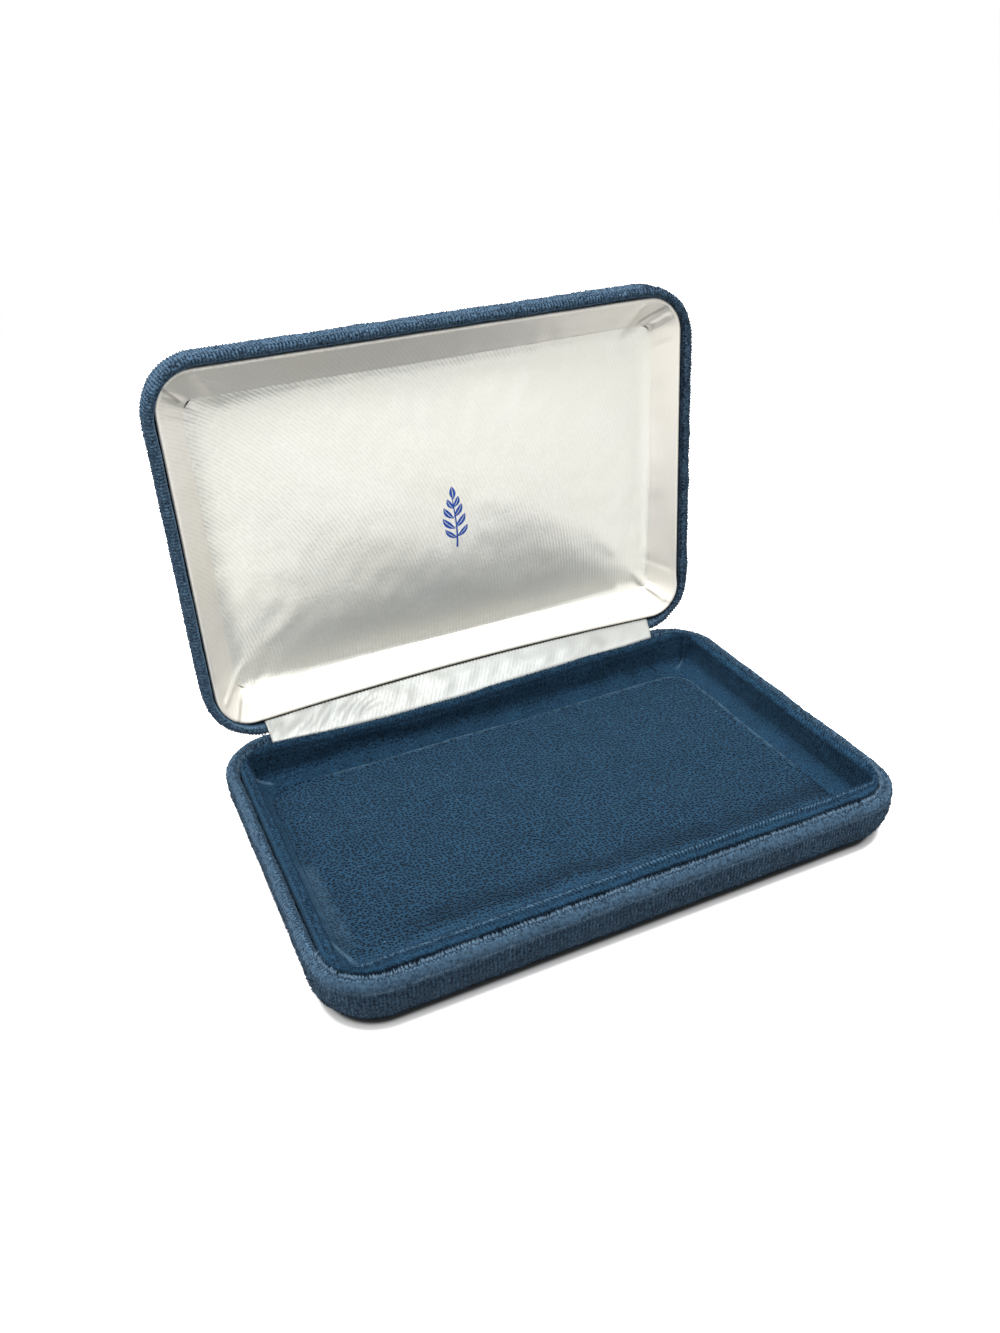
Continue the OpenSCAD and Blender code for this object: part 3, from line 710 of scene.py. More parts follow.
def pan_cover(h, rim, seed):
    """Grid of a pan's velvet cover, rim up: the section swept round the case, moved along its normals by
    two ripples, and cut down and thinned where the hinges pass through the rim at the back. Returns the
    rows of the map, the section and the grid."""
    path = outline(CASE_W, CASE_D, CORNER_R, 0, stations(CASE_W, CASE_D, CORNER_R, ROW))
    section, free = pan_section(h, rim)
    plain = swept(path, section)
    lift = 0.07 * ripple(plain, 13, seed) + 0.04 * ripple(plain, 2.6, seed + 1, 24)
    near = step_up(section[:, 1], h - 3, h - 0.6)
    lift = lift * free * (1 + 0.5 * near) - NAP * free
    moved = section[None] + lift[..., None] * section_normals(section)
    x, y = plain[:, 0, 0], plain[:, 0, 1]
    side = NOTCH_HALF + 0.4 - np.abs(np.abs(x) - HINGE_X)
    notch = (np.clip(side / 0.8, 0, 1) * (y > 0))[:, None]
    moved[..., 1] += notch * (np.minimum(moved[..., 1], h - NOTCH_DOWN) - moved[..., 1])
    inside = (section[:, 0] > NOTCH_IN) & (section[:, 1] > h - TURN_IN - 0.5)
    moved[..., 0] += notch * inside * (np.minimum(moved[..., 0], NOTCH_IN) - moved[..., 0])
    moved[..., 1] = np.maximum(moved[..., 1], 0)
    return path["rows"], section, swept(path, moved)


def velvet_pan(body, h, rim, seed, place):
    """The velvet cover of a half, closed by rings that run to the middle of its outer and inner faces, and
    put where place says. Returns its section, the length along it from its crest, and the placed grid."""
    rows, section, grid = pan_cover(h, rim, seed)
    run = run_of(section)
    crest = run[section[:, 1].argmax()]
    outer = to_centre(grid[:, :1], (0, 0, 0), 6)[:, ::-1]
    whole = np.concatenate([outer, grid, to_centre(grid, (0, 0, VELVET), 4)], 1)
    v = np.concatenate([-np.arange(6, 0, -1) * 7.0, run, run[-1] + np.arange(1, 5) * 9.0])
    look = outer_velvet("outer_velvet_" + body, crest, body == "base")
    grid_piece(body + "_cover", body + "_velvet", place(whole), rows, look, body, v,
               poles=True)
    return section, run - crest, place(grid)


def tufts(name, grid, chance, count, tone, look, body, size, seed, flip=1, lean=(0, 0, 0),
          grow=1.0, behind=None):
    """Tufts of pile in rows along the grid's stations: three thin blades from one root, which stand on
    the surface, lean with the nap and spread apart. size is their length and width. chance, tone and grow,
    by which the blades are longer, are one number for each grid point; the map holds the tuft's tone and
    the height up the blade. Tips stay behind the plane through the hinge line whose normal is behind."""
    rng = np.random.default_rng(seed)
    nu, nv = grid.shape[:2]
    ahead = np.roll(grid, -1, 0) - grid
    cell = np.linalg.norm(np.cross(ahead[:, :-1], grid[:, 1:] - grid[:, :-1]), axis=2)
    weight = (cell * np.broadcast_to(chance, (nu, nv))[:, :-1]).ravel()
    at = rng.choice(len(weight), count, p=weight / weight.sum())
    i, j = at // (nv - 1), at % (nv - 1)

    def at_root(value):
        """A value of the grid's points at each tuft's root."""
        return np.broadcast_to(value, (nu, nv))[i, j][:, None]

    a, b = rng.normal(0, TUFT_STRAY, (count, 1)), rng.random((count, 1))
    root = grid[i, j] * (1 - b) + grid[i, j + 1] * b + ahead[i, j] * a
    n = (normals_of(grid) * flip)[i, j]
    light = at_root(tone) + rng.normal(0, 0.16, (count, 1))
    shared = n + rng.normal(size=(count, 3)) * 0.3 + np.array(lean, float)
    turn = rng.uniform(0, 2 * math.pi, (count, 1))
    side = np.cross(n, rng.normal(size=(count, 3)))
    side /= np.linalg.norm(side, axis=1, keepdims=True)
    across = np.cross(n, side)
    long = size[0] * rng.uniform(0.6, 1.2, (count, 1)) * at_root(grow)
    wide = size[1] * rng.uniform(0.8, 1.2, (count, 1)) / 2
    verts, uv = [], []
    for k in range(3):
        angle = turn + k * THIRD_TURN
        out = side * np.cos(angle) + across * np.sin(angle)
        edge = side * np.sin(angle) - across * np.cos(angle)
        foot = root + out * wide * 0.5 - n * 0.06
        tip = foot + (shared + out * 0.42) * long
        if behind is not None:
            over = np.maximum((tip - [0, AXIS_Y, AXIS_Z]) @ behind + 0.03, 0)
            tip = tip - over[:, None] * behind
        verts.append(np.stack([foot - edge * wide, foot + edge * wide, tip], 1))
        shade = np.clip(light + rng.normal(0, 0.06, (count, 1)), 0, 1)
        uv.append(np.stack([np.tile(shade, 3), np.tile([0, 0, 1.0], (count, 1))], -1))
    verts, uv = np.concatenate(verts), np.concatenate(uv)
    faces = np.arange(len(verts) * 3).reshape(-1, 3)
    piece = mesh_piece(name, verts.reshape(-1, 3), [faces], [uv], look, body, outward=True)
    piece.data.polygons.foreach_set("use_smooth", np.zeros(len(faces), bool))


# ---- tray


def tray_section():
    """Section of the tray's velvet: short turn-down outside, rolled bead, wall, sloping foot,
    then back along its inner face to the start. Returns also how far the pile may vary."""
    top, tuck, inner = BEAD_TOP - BEAD_R, BEAD_TOP - 3.5, BEAD_W - 0.9
    knee, end = (BEAD_W + 0.7, FOOT_TOP - 0.5), (BEAD_W + COVE_W, FLOOR_TOP)
    return joined([
        (line((0, tuck), (0, top), 5), 0.4),
        (arc((BEAD_R, top), BEAD_R, 180, 0, 18), 1.0),
        (bent((BEAD_W, top, 16), (BEAD_W, FOOT_TOP + 0.8, 3), knee), 1.0),
        (line(knee, end, 9), 0.8),
        (bent((*end, 2), (end[0], end[1] - UNDER, 5), (BEAD_W - 0.8, FOOT_TOP - UNDER + 0.6)), 0.0),
        (line((inner, FOOT_TOP - 0.4), (inner, BEAD_TOP - 1), 8), 0.0),
        (bent((inner, BEAD_TOP - 0.95, 3), (0.9, BEAD_TOP - 0.95, 4), (0.9, tuck, 2), (0, tuck)), 0.0),
    ])


def slump(x, y, z):
    """How far the roll at the back has sunk: a bell curve left of its middle, less one at each end."""
    back = step_up(y, 34, 45) * step_up(z, 9, 15)
    return back * (1.5 * bell(x, -20, 38) - 0.5 * bell(np.abs(x), 67, 9))


# Pinches of the plush where it is eased round the tray's corners:
# angle of the corner's normal, half width in degrees, and how far it stands in from the wall
PINCHES = [
    (118, 9, -0.35), (139, 6, 0.7), (158, 7, 0.35),
    (203, 7, 0.4), (228, 5, 1.4), (250, 7, 0.35),
    (290, 7, 0.3), (311, 6, 0.6), (333, 7, 0.35),
    (22, 8, 0.5), (42, 5, 1.7), (60, 7, -0.9),
]

# How much wider the roll is along the front, where the plush is slack
FRONT_ROLL = 1.7


def tray_rings():
    """Three matching rings of the tray: its outer side, its inner wall, whose corners are nearly square
    so that the roll is squeezed there, and the end of its sloping foot."""
    counts = stations(TRAY_W, TRAY_D, TRAY_R, ROW)
    outer, wall, foot = (
        outline(TRAY_W - 2 * inset, TRAY_D - 2 * inset, radius, TRAY_Y, counts)
        for inset, radius in ((0, TRAY_R), (BEAD_W, 3.2), (BEAD_W + COVE_W, 6.2))
    )
    inner = ring(wall)
    inner[:, 1] += FRONT_ROLL * step_up(-inner[:, 1], 20, 46)
    return outer, [ring(outer), inner, ring(foot)]


def tray_points(section, lift=0.0):
    """Grid of a section of the tray wall, moved in by lift and sunk at the back. An inset from 0 to the
    bead's width is a blend of the first two rings, and one beyond it of the last two."""
    outer, rings = tray_rings()
    section = np.broadcast_to(section, (len(rings[0]),) + np.shape(section)[-2:])
    inset = section[..., 0]
    first = np.clip(inset / BEAD_W, None, 1)[..., None]
    second = np.clip((inset - BEAD_W) / COVE_W, 0, None)[..., None]
    flat = rings[0][:, None] * (1 - first) + rings[1][:, None] * first
    flat = flat + (rings[2] - rings[1])[:, None] * second
    flat = flat - (lift * np.ones(inset.shape))[..., None] * outer["normal"][:, None]
    sunk = slump(flat[..., 0], flat[..., 1], section[..., 1])
    flat[..., 1] -= 0.4 * sunk
    return np.concatenate([flat, (section[..., 1] - sunk)[..., None]], 2)


def tray_lining(look):
    """The tray's velvet: its section round the rings, with two ripples, pinches at the corners, which are
    bell curves of the normal's angle, a slack belly half way up the wall and an uneven crest. Returns the
    section and the grid."""
    section, free = tray_section()
    path, _ = tray_rings()
    plain = tray_points(section)
    lift = (0.05 * ripple(plain, 8, 31) + 0.04 * ripple(plain, 2.6, 32, 24)) * free
    z = section[:, 1]
    inner = (section[:, 0] > BEAD_W - 0.4) * (free > 0)
    below = step_up(-z, -(BEAD_TOP - 0.8), -(BEAD_TOP - 4)) * inner
    at_foot = 1 - 0.6 * step_up(-z, -FOOT_TOP, -FLOOR_TOP)
    corner = (np.abs(path["normal"]).min(1) > 0.02).astype(float)
    for angle, width, stand in PINCHES:
        fold = bell(path["turn"], angle, width) * corner
        lift = lift + stand * fold[:, None] * (below * at_foot)[None]
    slack = 0.3 * ripple(plain[:, :1, :2], 34, 33)[:, 0]
    lift = lift + slack[:, None] * bell(z, 11.5, 3.2) * inner
    moved = np.repeat(section[None], len(plain), 0)
    crest = 0.14 * ripple(plain[:, :1, :2], 22, 35)
    moved[..., 1] += crest * step_up(z, 14, 16.5) * (free > 0)
    grid = tray_points(moved, lift)
    run = run_of(section)
    grid_piece("tray_wall_plush", "tray_wall_velvet", grid, path["rows"], look, "base",
               np.append(run, run[-1] + 1), round_v=True)
    return section, grid


def tray_card(look):
    """The card inside the tray wall: an upright and a sloping foot, squeezed at its corners as well."""
    top, low, end = BEAD_TOP - 1.1, FLOOR_TOP + 0.16 - (UNDER + GLUE), BEAD_W + COVE_W - 0.2
    section = bent(
        (1.0, 10, 4), (1.0, top, 2), (2.1, top, 6), (2.1, FOOT_TOP - 0.35, 5), (end, low, 1),
        (6.9, BED + 0.02, 2), (4.6, BED + 0.02, 5), (1.0, FOOT_TOP - 2.0, 3), (1.0, 10),
    )
    path, _ = tray_rings()
    grid_piece("tray_wall_boards", "tray_wall_card", tray_points(section), path["rows"], look, "base",
               round_v=True)


def floor_panel(look):
    """The floor's plush: its edge laps the sloping foot of the walls in a low lip, and rings run from
    there to its middle, slowly uneven, and to the middle of its underside."""
    wide = 0.5
    counts = stations(FLOOR_W, FLOOR_D, FLOOR_R, ROW)
    path = outline(FLOOR_W + 2 * wide, FLOOR_D + 2 * wide, FLOOR_R + 1, TRAY_Y, counts)
    z = FLOOR_TOP
    section = np.concatenate([
        bent((0.9, BED, 2), (0.9, z - 0.5, 2), (-0.1, z + 0.05, 2), (0.05, z + 0.26)),
        arc((0.3, z + 0.14), 0.26, 155, 25, 5),
        bent((0.55, z + 0.24, 5), (1.6, z - 0.05, 8), (7.6, z)),
        [[7.6, z]],
    ])
    grid = swept(path, section)
    top = np.concatenate([grid, to_centre(grid, (0, TRAY_Y, z), 44)], 1)
    top[..., 2] += step_up(top[..., 2], z - 0.3, z) * 0.14 * ripple(top[..., :2], 30, 41)
    under = to_centre(grid[:, :1], (0, TRAY_Y, BED), 3)[:, ::-1]
    whole = np.concatenate([under, top], 1)
    grid_piece("tray_floor_plush", "floor_velvet", whole, path["rows"], look, "base",
               np.arange(whole.shape[1]) * 1.2, poles=True)


# ---- lid lining


def bow(x):
    """How far the satin's edge at the hinge is drawn up in its middle: a parabola over its length."""
    return 2.4 * np.clip(1 - (x / 75) ** 2, 0, 1)


def bowed(points):
    """Draws up the points of the lining that are near the hinge, in place."""
    points[..., 1] -= bow(points[..., 0]) * step_up(points[..., 1], 40, 50)


# Pleats and gathers where the satin is drawn round its corners:
# start and end (x, y of the shut lining), half width, and how far they stand towards the viewer
PLEATS = [
    (-77, -48, -64, -38, 1.1, 0.7), (-79, -42, -66, -35, 1.0, -0.3), (-68, -52, -58, -38, 1.6, 0.35),
    (77, -48, 64, -38, 1.2, 0.7), (79, -40, 67, -34, 1.2, -0.3), (67, -52, 58, -38, 1.6, 0.35),
    (-77, 45, -66, 34, 1.2, 0.7), (-71, 51, -60, 36, 1.5, -0.5), (-60, 52, -53, 38, 1.8, 0.3),
    (75, 49, 64, 36, 1.3, 0.8), (79, 38, 67, 32, 1.2, -0.3), (64, 52, 57, 38, 1.6, 0.35),
    (-60, 30, -44, 14, 3.4, 0.3), (58, 28, 46, 14, 3.6, 0.3), (60, -32, 44, -20, 3.2, -0.25),
    (-24, 52, -22, 40, 2.8, 0.14), (32, 52, 31, 40, 3.2, 0.14), (8, -53, 9, -42, 3.0, 0.1),
]


# How far the crown's highest place lies towards the hinge, where the wadding has settled, the depth of the
# pillow's foot and how high it rises
CROWN_Y, CROWN_FOOT, CROWN_RISE = 7.0, 9.8, 8.4

# How far in from the lining's edge the cushion starts, at its ends and at its long sides
CUSHION_IN = (6.9, 8.6)


def soft_least(a, b, soft):
    """The lesser of two depths, with the corner between them rounded: -s log(exp(-a/s) + exp(-b/s))."""
    return -soft * np.logaddexp(-a / soft, -b / soft)


def lining_depth(x, y):
    """Depth of the satin below the lid's rim. Near the edge it slopes down as a border, further in it
    rises as a pillow. The pillow is half the product and half the lesser of 1 - |X|^2.5 and 1 - |Y|^1.8,
    so that soft ridges run to its corners, and the valley between the two is rounded. Two ripples are
    added, and pleats: each is a bell curve across its line, faded in and out along it."""
    x, y = np.asarray(x, float), np.asarray(y, float) - LINING_Y
    hx, hy = LINING_W / 2, LINING_D / 2
    qx, qy = np.abs(x) - (hx - LINING_R), np.abs(y) - (hy - LINING_R)
    away = np.hypot(np.maximum(qx, 0), np.maximum(qy, 0)) + np.minimum(np.maximum(qx, qy), 0)
    edge = LINING_R - away
    side = step_up(qx - qy, -10, 10)
    slope = 0.8 + side * (0.1 + 0.15 * step_up(x, -20, 20)) - 0.14 * step_up(-y, 20, 42)
    border = 2.0 - 1.1 * step_up(y, 36, 47) + np.maximum(edge - 0.9, 0) * slope
    low = y - CROWN_Y
    bx = 1 - np.clip(np.abs(x) / (hx - 5.0), 0, 1) ** 2.5
    by = 1 - np.clip(np.abs(low) / (hy - 6.5 - CROWN_Y * np.sign(low)), 0, 1) ** 1.8
    crown = CROWN_FOOT - CROWN_RISE * (0.5 * bx * by + 0.5 * soft_least(bx, by, 0.1))
    depth = soft_least(border, crown, 1.7 - 0.7 * step_up(y, 10, 40))
    points = np.stack([x, y], -1)
    inside = step_up(edge, 1.5, 6)
    depth = depth - inside * (0.16 * ripple(points, 33, 61) + 0.05 * ripple(points, 10, 62))
    for x0, y0, x1, y1, width, stand in PLEATS:
        way = np.array([x1 - x0, y1 - y0], float)
        size = np.linalg.norm(way)
        way /= size
        off = points - [x0, y0]
        along, across = off @ way / size, off @ np.array([-way[1], way[0]])
        fade = step_up(along, -0.2, 0.15) * (1 - step_up(along, 0.4, 1.1))
        spread = width * (0.6 + 0.7 * np.clip(along, 0, 1))
        depth = depth - stand * bell(across, 0, spread) * fade * step_up(edge, 0.8, 3)
    return depth


def on_map(piece):
    """Sets the cloth map of a piece of the lid to its place in the plane of the shut lid."""
    mesh = piece.data
    corner = np.empty(len(mesh.loops), np.int32)
    mesh.loops.foreach_get("vertex_index", corner)
    place = np.empty(len(mesh.vertices) * 3)
    mesh.vertices.foreach_get("co", place)
    flat = swing(place.reshape(-1, 3) * 1000, -OPEN)[corner, :2] / MAP_UNIT
    mesh.uv_layers["cloth"].data.foreach_set("uv", flat.astype(np.float32).ravel())


def border_grid(edge, thick, down, foot):
    """Path and grid of a layer of the border: its face, from the inset edge to the inset foot, lies down
    below the lining's depth, dips under the cushion's edge, and comes back thick below itself."""
    counts = stations(LINING_W, LINING_D, LINING_R, LINING_ROW)
    path = outline(LINING_W, LINING_D, LINING_R, LINING_Y, counts)
    ends = foot - 1.6 * np.abs(path["normal"][:, :1])
    inset = edge + (ends - edge) * np.linspace(0, 1, 30)
    face = swept(path, np.stack([inset, inset * 0], -1))
    half = np.array([LINING_W - 2 * CUSHION_IN[0], LINING_D - 2 * CUSHION_IN[1]]) / 2
    inside = (half - np.abs(face[..., :2] - [0, LINING_Y])).min(-1)
    face[..., 2] = lining_depth(face[..., 0], face[..., 1]) + down
    face[..., 2] += 0.3 * step_up(inside, -0.3, 0.9)
    bowed(face)
    back = face[:, ::-3].copy()
    back[..., 2] += thick
    return path, face, back


def border(look):
    """Satin border: its turned edge, its face and the tuck behind the cushion, with an inner side."""
    path, face, back = border_grid(0.35, SATIN, 0.0, 9.8)
    turned = swept(path, np.array([[0.4, 4.0], [0.0, 4.0], [0.0, 3.2], [0.0, 2.5], [0.12, 2.15]]))
    bowed(turned)
    tuck = face[:, -1:] + [0, 0, 1.6]
    whole = np.concatenate([turned, face, tuck, back], 1)
    on_map(grid_piece("lid_border_cover", "lid_border_satin", lined(whole), path["rows"], look, "lid",
                      round_v=True))


def border_card(look):
    """The card under the border, which follows its slope."""
    path, face, back = border_grid(0.6, 0.8, SATIN + 0.08, 8.2)
    whole = np.concatenate([face[:, ::3], back], 1)
    grid_piece("lid_border_board", "lid_border_card", lined(whole), path["rows"], look, "lid",
               round_v=True)


def cushion_piece(name, node, down, shrink, deep, look):
    """Closed grid of the cushion: rings from the middle of its crowned face to its edge, whose sides pull
    in by (1 - t^2)^2 between the corners, down to the board and back to the middle of its underside."""
    w, d = (n - 2 * (m + shrink) for n, m in zip((LINING_W, LINING_D), CUSHION_IN))
    path = outline(w, d, 6 - shrink, LINING_Y, stations(w, d, 6 - shrink, LINING_ROW))
    edge, centre = ring(path), np.array([0, LINING_Y])
    end_on = np.abs(path["normal"][:, 1]) > 0.7
    along = np.where(end_on, edge[:, 0] / (w / 2), (edge[:, 1] - LINING_Y) / (d / 2))
    pull = 0.45 * (1 - np.clip(along, -1, 1) ** 2) ** 2
    edge = edge - path["normal"] * pull[:, None]
    t = np.sin(np.linspace(0, math.pi / 2, 56)) ** 0.9
    face = centre + (edge - centre)[:, None] * t[None, :, None]
    depth = lining_depth(face[..., 0], face[..., 1]) + down + 0.12 * step_up(t, 0.97, 1.0)
    face = np.concatenate([face, depth[..., None]], 2)
    k = np.linspace(0, 1, 9)[1:]
    in_by = path["normal"][:, None] * (1.6 * k**0.7)[:, None]
    heights = face[:, -1:, 2] + (deep - face[:, -1:, 2]) * k
    side = np.concatenate([edge[:, None] - in_by, heights[..., None]], 2)
    grid = np.concatenate([face, side, to_centre(side, (0, LINING_Y, deep), 4)], 1)
    piece = grid_piece(name, node, lined(grid), path["rows"], look, "lid", poles=True)
    on_map(piece)


# ---- printed sprig

# Leaves of the sprig: foot (x, y) from the bottom of its stem, direction in degrees, length, width
LEAVES = [
    (0.1, 15.0, 92, 3.9, 1.5), (0.0, 12.6, 48, 3.4, 1.3), (0.0, 12.2, 134, 3.4, 1.3),
    (-0.2, 9.6, 40, 4.3, 1.5), (-0.2, 9.2, 142, 4.3, 1.5), (-0.1, 6.4, 34, 4.6, 1.6),
    (-0.1, 6.0, 148, 4.6, 1.6), (0.2, 3.4, 28, 4.2, 1.4), (0.2, 3.0, 152, 4.2, 1.4),
]
# How much the drawing is widened, and where its stem's foot is: x, and the height up the open lid
SPRIG_WIDER, SPRIG_FOOT = 1.3, (0.3, 45.4)


def on_cushion(points, lift):
    """Lays flat points, given as x and the height up the open lid, on the cushion's face."""
    x, y = points[..., 0], AXIS_Y - points[..., 1] + 0.9
    depth = lining_depth(x, y) - lift
    return lined(np.stack([x, y, depth], -1))


def sprig(look):
    """Printed leaf sprig: each leaf is as wide as sin(pi t)^0.8 along its bent midrib, split by a bare vein,
    and the stem is a thin sine."""
    parts = []
    t = np.linspace(0, 1, 13)[:, None]
    for fx, fy, way, long, wide in LEAVES:
        bend = math.radians(way) + (0.35 if way < 90 else -0.35 if way > 95 else 0) * t
        mid = np.stack([fx + np.cos(bend) * t * long, fy + np.sin(bend) * t * long], -1)
        side = np.stack([-np.sin(bend), np.cos(bend)], -1)
        half = wide / 2 * np.sin(math.pi * np.clip(t, 0.02, 0.985)) ** 0.8
        for s in (-1, 1):
            v = s * np.linspace(0.1, 1, 4)[None]
            parts.append((mid + side * (half * v)[..., None], v[0]))
    t = np.linspace(0, 1, 30)[:, None]
    v = np.array([[-1, 0, 1]]) * (0.24 - 0.12 * t)
    parts.append((np.stack([v + 0.25 * np.sin(t * 4), t * 15.6 + 0 * v], -1), np.array([0, 0.5, 1])))
    verts, faces, uvs, start = [], [], [], 0
    for points, v in parts:
        points = np.concatenate([points, points[..., :1] * 0], -1)
        here, quads, uv = grid_faces(points, np.linspace(0, 1, len(points)), v, False, False)
        verts.append(here[:, :2])
        faces.append(quads[0] + start)
        uvs.append(uv[0])
        start += len(here)
    flat = np.concatenate(verts) * [SPRIG_WIDER, 1] + SPRIG_FOOT
    mesh_piece("lid_printed_sprig", on_cushion(flat, 0.035), [np.concatenate(faces)],
               [np.concatenate(uvs)], look, "lid", outward=True)


# ---- satin strip


def strip(look):
    """Satin strip over the hinges: glued behind the lining, across to the tray and down its back.
    A sheet whose section is a slack line, raised by sin(pi t) times an amount that has a ripple and waves
    on the diagonal, strongest at its left end."""
    y, z = LINING_Y + LINING_D / 2 + 0.35, LID_RIM + LINING_DOWN - 0.4
    lid_edge = swing(np.array([0, y, z]))[1:]
    lid_tab = swing(np.array([0, y, z + STRIP_TAB]))[1:]
    base_edge = np.array([CASE_D / 2 - STRIP_IN + 0.25, BASE_H + 0.35])
    base_tab = base_edge - [0, STRIP_TAB]
    section = bent((*lid_tab, 5), (*(lid_edge + [0.3, 0]), 22), (*(base_edge + [0.2, 0.1]), 3),
                   (*(base_edge - [0, 0.3]), 5), base_tab)
    section = np.concatenate([section, [base_tab]])
    run = run_of(section)
    x = np.linspace(STRIP_LEFT, STRIP_RIGHT, 201)[:, None]
    section = np.broadcast_to(section, (201,) + section.shape)
    t = np.clip((section[..., 0] - base_edge[0]) / (lid_edge[0] - base_edge[0]), 0, 1)
    hump = np.sin(math.pi * t) * (section[..., 1] > BASE_H)
    flat = np.stack([np.broadcast_to(x, t.shape), t * 9], -1)
    left = step_up(-x, 12, 50)
    phase = (flat[..., 0] - flat[..., 1] * 1.1) * 0.9 + 2.4 * ripple(flat, 15, 72)
    lift = 0.3 + 0.2 * ripple(flat, 13, 71) + 0.3 * left * np.sin(phase)
    lift = lift + 0.07 * np.sin((flat[..., 0] - flat[..., 1] * 0.9) * 0.9) * (1 - left)
    moved = section + (lift * hump)[..., None] * np.array([-0.5, 0.866])
    sunk = slump(x, 48.0, 16.0) * (1 - t)
    moved[..., 1] += bow(x) * t - sunk
    moved[..., 0] -= 0.4 * sunk
    flat[..., 0] -= 3.0 * (1 - t) * step_up(x, 36, STRIP_RIGHT)
    grid = np.concatenate([flat[..., :1], moved], -1)
    verts, faces, uv = grid_faces(grid, x[:, 0] / MAP_UNIT, run / MAP_UNIT, False, False)
    piece = mesh_piece("hinge_strip_cover", verts, faces, uv, look, None, outward=True)
    solid = piece.modifiers.new("thickness", "SOLIDIFY")
    solid.thickness, solid.offset = STRIP_THICK / 1000, -1
    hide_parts("hinge_strip_satin")
    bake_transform(piece)


# ---- the case

outer_pile = pile_look("outer_pile", srgb(10, 27, 44), srgb(90, 118, 142), srgb(140, 168, 194))
fringe_pile = pile_look("fringe_pile", srgb(60, 88, 112), srgb(116, 144, 168), srgb(150, 176, 200))
inner_pile = pile_look("inner_pile", srgb(6, 20, 35), srgb(54, 86, 114), srgb(110, 150, 180))
grey_card = pressed_card("grey_card", srgb(118, 106, 88), srgb(160, 148, 126), 0.8)


def lid_place(points):
    """A pan drawn rim up, turned over onto the base's rim and swung open."""
    return swing(points * [1, 1, -1] + [0, 0, LID_RIM + LID_H])


base_line, base_run, base_grid = velvet_pan("base", BASE_H, BASE_RIM, 11, lambda points: points)
lid_line, lid_run, lid_grid = velvet_pan("lid", LID_H, LID_RIM_W, 21, lid_place)
tray_line, tray_grid = tray_lining(tray_velvet("tray_plush", False))
tray_card(grey_card)
floor_panel(tray_velvet("floor_plush", True))
border(twill_satin("border_satin", (240, 236, 227), 0.3, 0.4))
border_card(grey_card)
cushion_piece("lid_cushion_cover", "lid_cushion_satin", 0.0, 0.0, LID_BED - 0.2,
              twill_satin("cushion_satin", (238, 237, 229), 0.8))
cushion_piece("lid_cushion_wadding", "lid_wadding", 0.6, 0.9, LID_BED - 1.3,
              fibres("cotton_wadding"))
sprig(ink("blue_ink"))
# the strip's satin has a darker hue than the lining's, painted shade that offsets the strong light on its
# upward face
strip(twill_satin("strip_satin", (168, 171, 169), 0.2, 0.42, lid=False))

# Directions in which the pile of the two rims ends at the parting: up, and out of the open lid
UP, OUT = np.array([0, 0, 1.0]), np.array([0, -math.sin(OPEN), -math.cos(OPEN)])

# Pile that stands off the rims and the tray's bead, in one row to each rib; none where a hinge passes, and
# longer along the hinge line, where the two rims brush together. Both rims have the same stations.
x, y = base_grid[:, :1, 0], base_grid[:, :1, 1]
clear = ~((np.abs(np.abs(x) - HINGE_X) < NOTCH_HALF + 1.2) & (y > 40))
at_hinge, front = step_up(y, 51, 55), step_up(-y, 38, 50)
left, right = step_up(-x, 70, 80), step_up(x, 62, 80)

run = base_run
outside = (run < 1.7) & (base_line[:, 1] > 2.2)
fringe, ticks = bell(run, 0.9, 0.7), bell(run, -3.4, 0.4)
chance = (0.22 + 1.5 * fringe + 1.0 * ticks - 0.17 * bell(run, -1.8, 1.4)) * outside
# the fringe's tone is painted lighter at the left, as lit from there
tone = 0.24 + (0.34 + 0.25 * left) * fringe + 0.5 * ticks
tufts("base_rim_pile", base_grid, chance * clear, 32000, tone, outer_pile, "base",
      (0.46, 0.2), 81, lean=(0, 0, 0.2), grow=1 + 1.4 * at_hinge * step_up(run, -3, -1), behind=UP)
chance = bell(run, 1.0, 0.35) * np.maximum(front, 0.6 * left)
tufts("base_rim_fringe", base_grid, chance + 1e-9, 1900, 0.9 - 0.5 * left, fringe_pile, "base",
      (0.85, 0.18), 84, lean=(0, 0.3, 0.3), behind=UP)

run = lid_run
outside = (run < 1.0) & (lid_line[:, 1] > 2.2)
rim = step_up(run, -3.4, -1.6)
chance = (0.2 + 0.8 * rim) * outside + 0.8 * right * outside
grow = 1 + 1.6 * at_hinge * step_up(run, -3, -1) + 0.9 * right
tufts("lid_rim_pile", lid_grid, chance * clear, 40000, 0.36 + 0.02 * rim, outer_pile, "lid",
      (0.4, 0.18), 82, -1, grow=grow, behind=OUT)

inset, z = tray_line.T
on_face = (np.arange(len(z)) < 44) & (z > 10) & (inset > 0.8)
run = run_of(tray_line)
# tone: painted shade on the bead's outer side, painted highlights on its crown and inner edge
tone = 0.1 + 0.2 * step_up(run, 3.4, 4.8) + 0.2 * bell(run, 7.8, 0.6) + 0.25 * bell(run, 5.5, 0.6)
tufts("tray_bead_pile", tray_grid, (0.1 + step_up(z, 13, 16)) * on_face, 24000, tone, inner_pile, "base",
      (0.4, 0.2), 83)

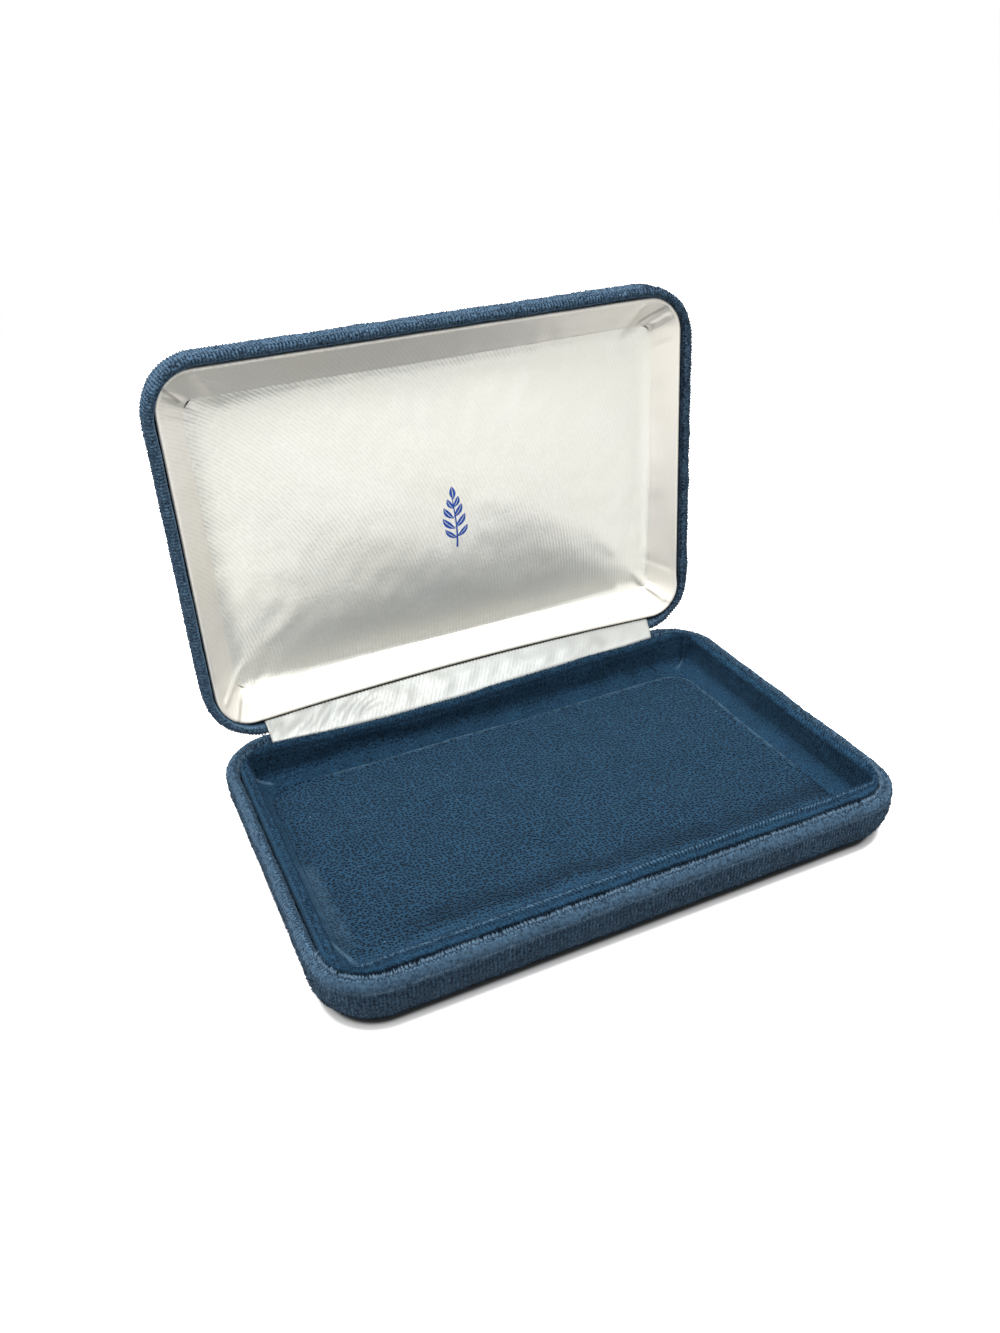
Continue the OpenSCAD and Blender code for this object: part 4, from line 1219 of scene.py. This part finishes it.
# Finishes of the fittings and boards, which keep their own shapes, by a word in the node's name
plating = worn_metal("hinge_plating", srgb(196, 178, 128), srgb(128, 112, 82), (0.15, 1, 1), 0.32)
steel = worn_metal("blued_steel", srgb(150, 156, 166), srgb(78, 82, 92), (1, 1, 0.2), 0.28)
rivets = worn_metal("rivet_plating", srgb(190, 182, 158), srgb(120, 112, 96), (1, 1, 1), 0.35)
shells = pressed_card("shell_board", srgb(54, 54, 58), srgb(88, 88, 92), 0.6)
FINISHES = {"leaf": plating, "rivet": rivets, "pin": steel, "spring": steel, "shell": shells}
for name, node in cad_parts.items():
    finish = next((look for word, look in FINISHES.items() if word in name), grey_card)
    for slot in node.material_slots:
        slot.material = finish.material


# ---- stage, light and camera


def floor_stage():
    """Plain pale floor: to the camera it is a little brighter than white, so that only the shadow at its
    foot shows, and it is painted dark close to the case, a painted shadow along the case's foot; in a
    reflection it is plain white. How close a point is comes from its distance to the case's rounded outline."""
    mesh = bpy.data.meshes.new("floor")
    a = 0.75
    mesh.from_pydata([(-a, -a, 0), (a, -a, 0), (a, a, 0), (-a, a, 0)], [], [(0, 1, 2, 3)])
    floor = placed("floor", mesh)
    look = Look("floor_paper")
    sides = zip(look.place().parts(), (CASE_W / 2, CASE_D / 2))
    x, y = ((abs(n) - (half - CORNER_R)).greater(0.0) for n, half in sides)
    away = (x * x + y * y).root() - CORNER_R
    # painted shadow: near black at the case's foot, rising to brighter than white a few millimetres out
    clear = away.between(-5.1, -3.8) * 0.3 + away.between(-3.1, -0.2) * 0.7
    white = look.mix(clear, (0.12,) * 3, (2.6,) * 3)
    colour = look.mix(look.seen("Glossy", "Transmission"), (0.28,) * 3, (1.0,) * 3)
    colour = look.mix(look.seen("Camera"), colour, white)
    look.show(look.node("ShaderNodeBsdfDiffuse", {}, {"Color": colour}), "Material Output")
    mesh.materials.append(look.material)


def sky(strength):
    """Soft light from all round, and plain white to the camera and in reflections."""
    world = bpy.data.worlds.new("studio")
    bpy.context.scene.world = world
    world.use_nodes = True
    nodes = Nodes(world.node_tree)
    light, white = (
        nodes.node("ShaderNodeBackground", {}, {"Color": (*tint, 1), "Strength": power})
        for tint, power in (((0.97, 0.985, 1.0), strength), ((1, 1, 1), 1.0))
    )
    seen = nodes.seen("Camera", "Glossy", "Transmission")
    nodes.show(nodes.node("ShaderNodeMixShader", {}, {0: seen, 1: light, 2: white}), "World Output")


def stood(piece, right, up, place):
    """Puts a piece at a place in metres, its x axis along right, its y axis along up and z across both."""
    matrix = np.eye(4)
    matrix[:3, :3] = np.stack([right, up, np.cross(right, up)], 1)
    matrix[:3, 3] = place
    piece.matrix_world = Matrix(matrix.tolist())


def lamp(name, place, aim, size, power):
    """Square soft lamp at place, turned to face aim."""
    data = bpy.data.lights.new(name, "AREA")
    data.size, data.energy = size, power
    back = np.array(place, float) - aim
    back /= np.linalg.norm(back)
    right = np.cross([0, 0, 1], back)
    right /= np.linalg.norm(right)
    stood(placed(name, data), right, np.cross(back, right), place)


def camera(right, up, place, lens):
    """The camera: its sides' directions, where it stands, and its focal length on a sensor 36 mm high."""
    data = bpy.data.cameras.new("camera")
    data.sensor_fit, data.sensor_height, data.lens = "VERTICAL", 36, lens
    data.clip_start, data.clip_end = 0.01, 20
    bpy.context.scene.camera = placed("camera", data)
    stood(bpy.context.scene.camera, right, up, place)


floor_stage()
sky(0.2)
lamp("soft_key", (-0.17, -0.29, 1.17), (0, 0, 0.05), 1.3, 33.5)
camera(
    right=(0.9080, -0.4163, -0.0461), up=(0.2459, 0.4409, 0.8632),
    place=(-0.11003, -0.22763, 0.19657), lens=29.65,
)
bpy.context.scene.view_settings.view_transform = "Standard"
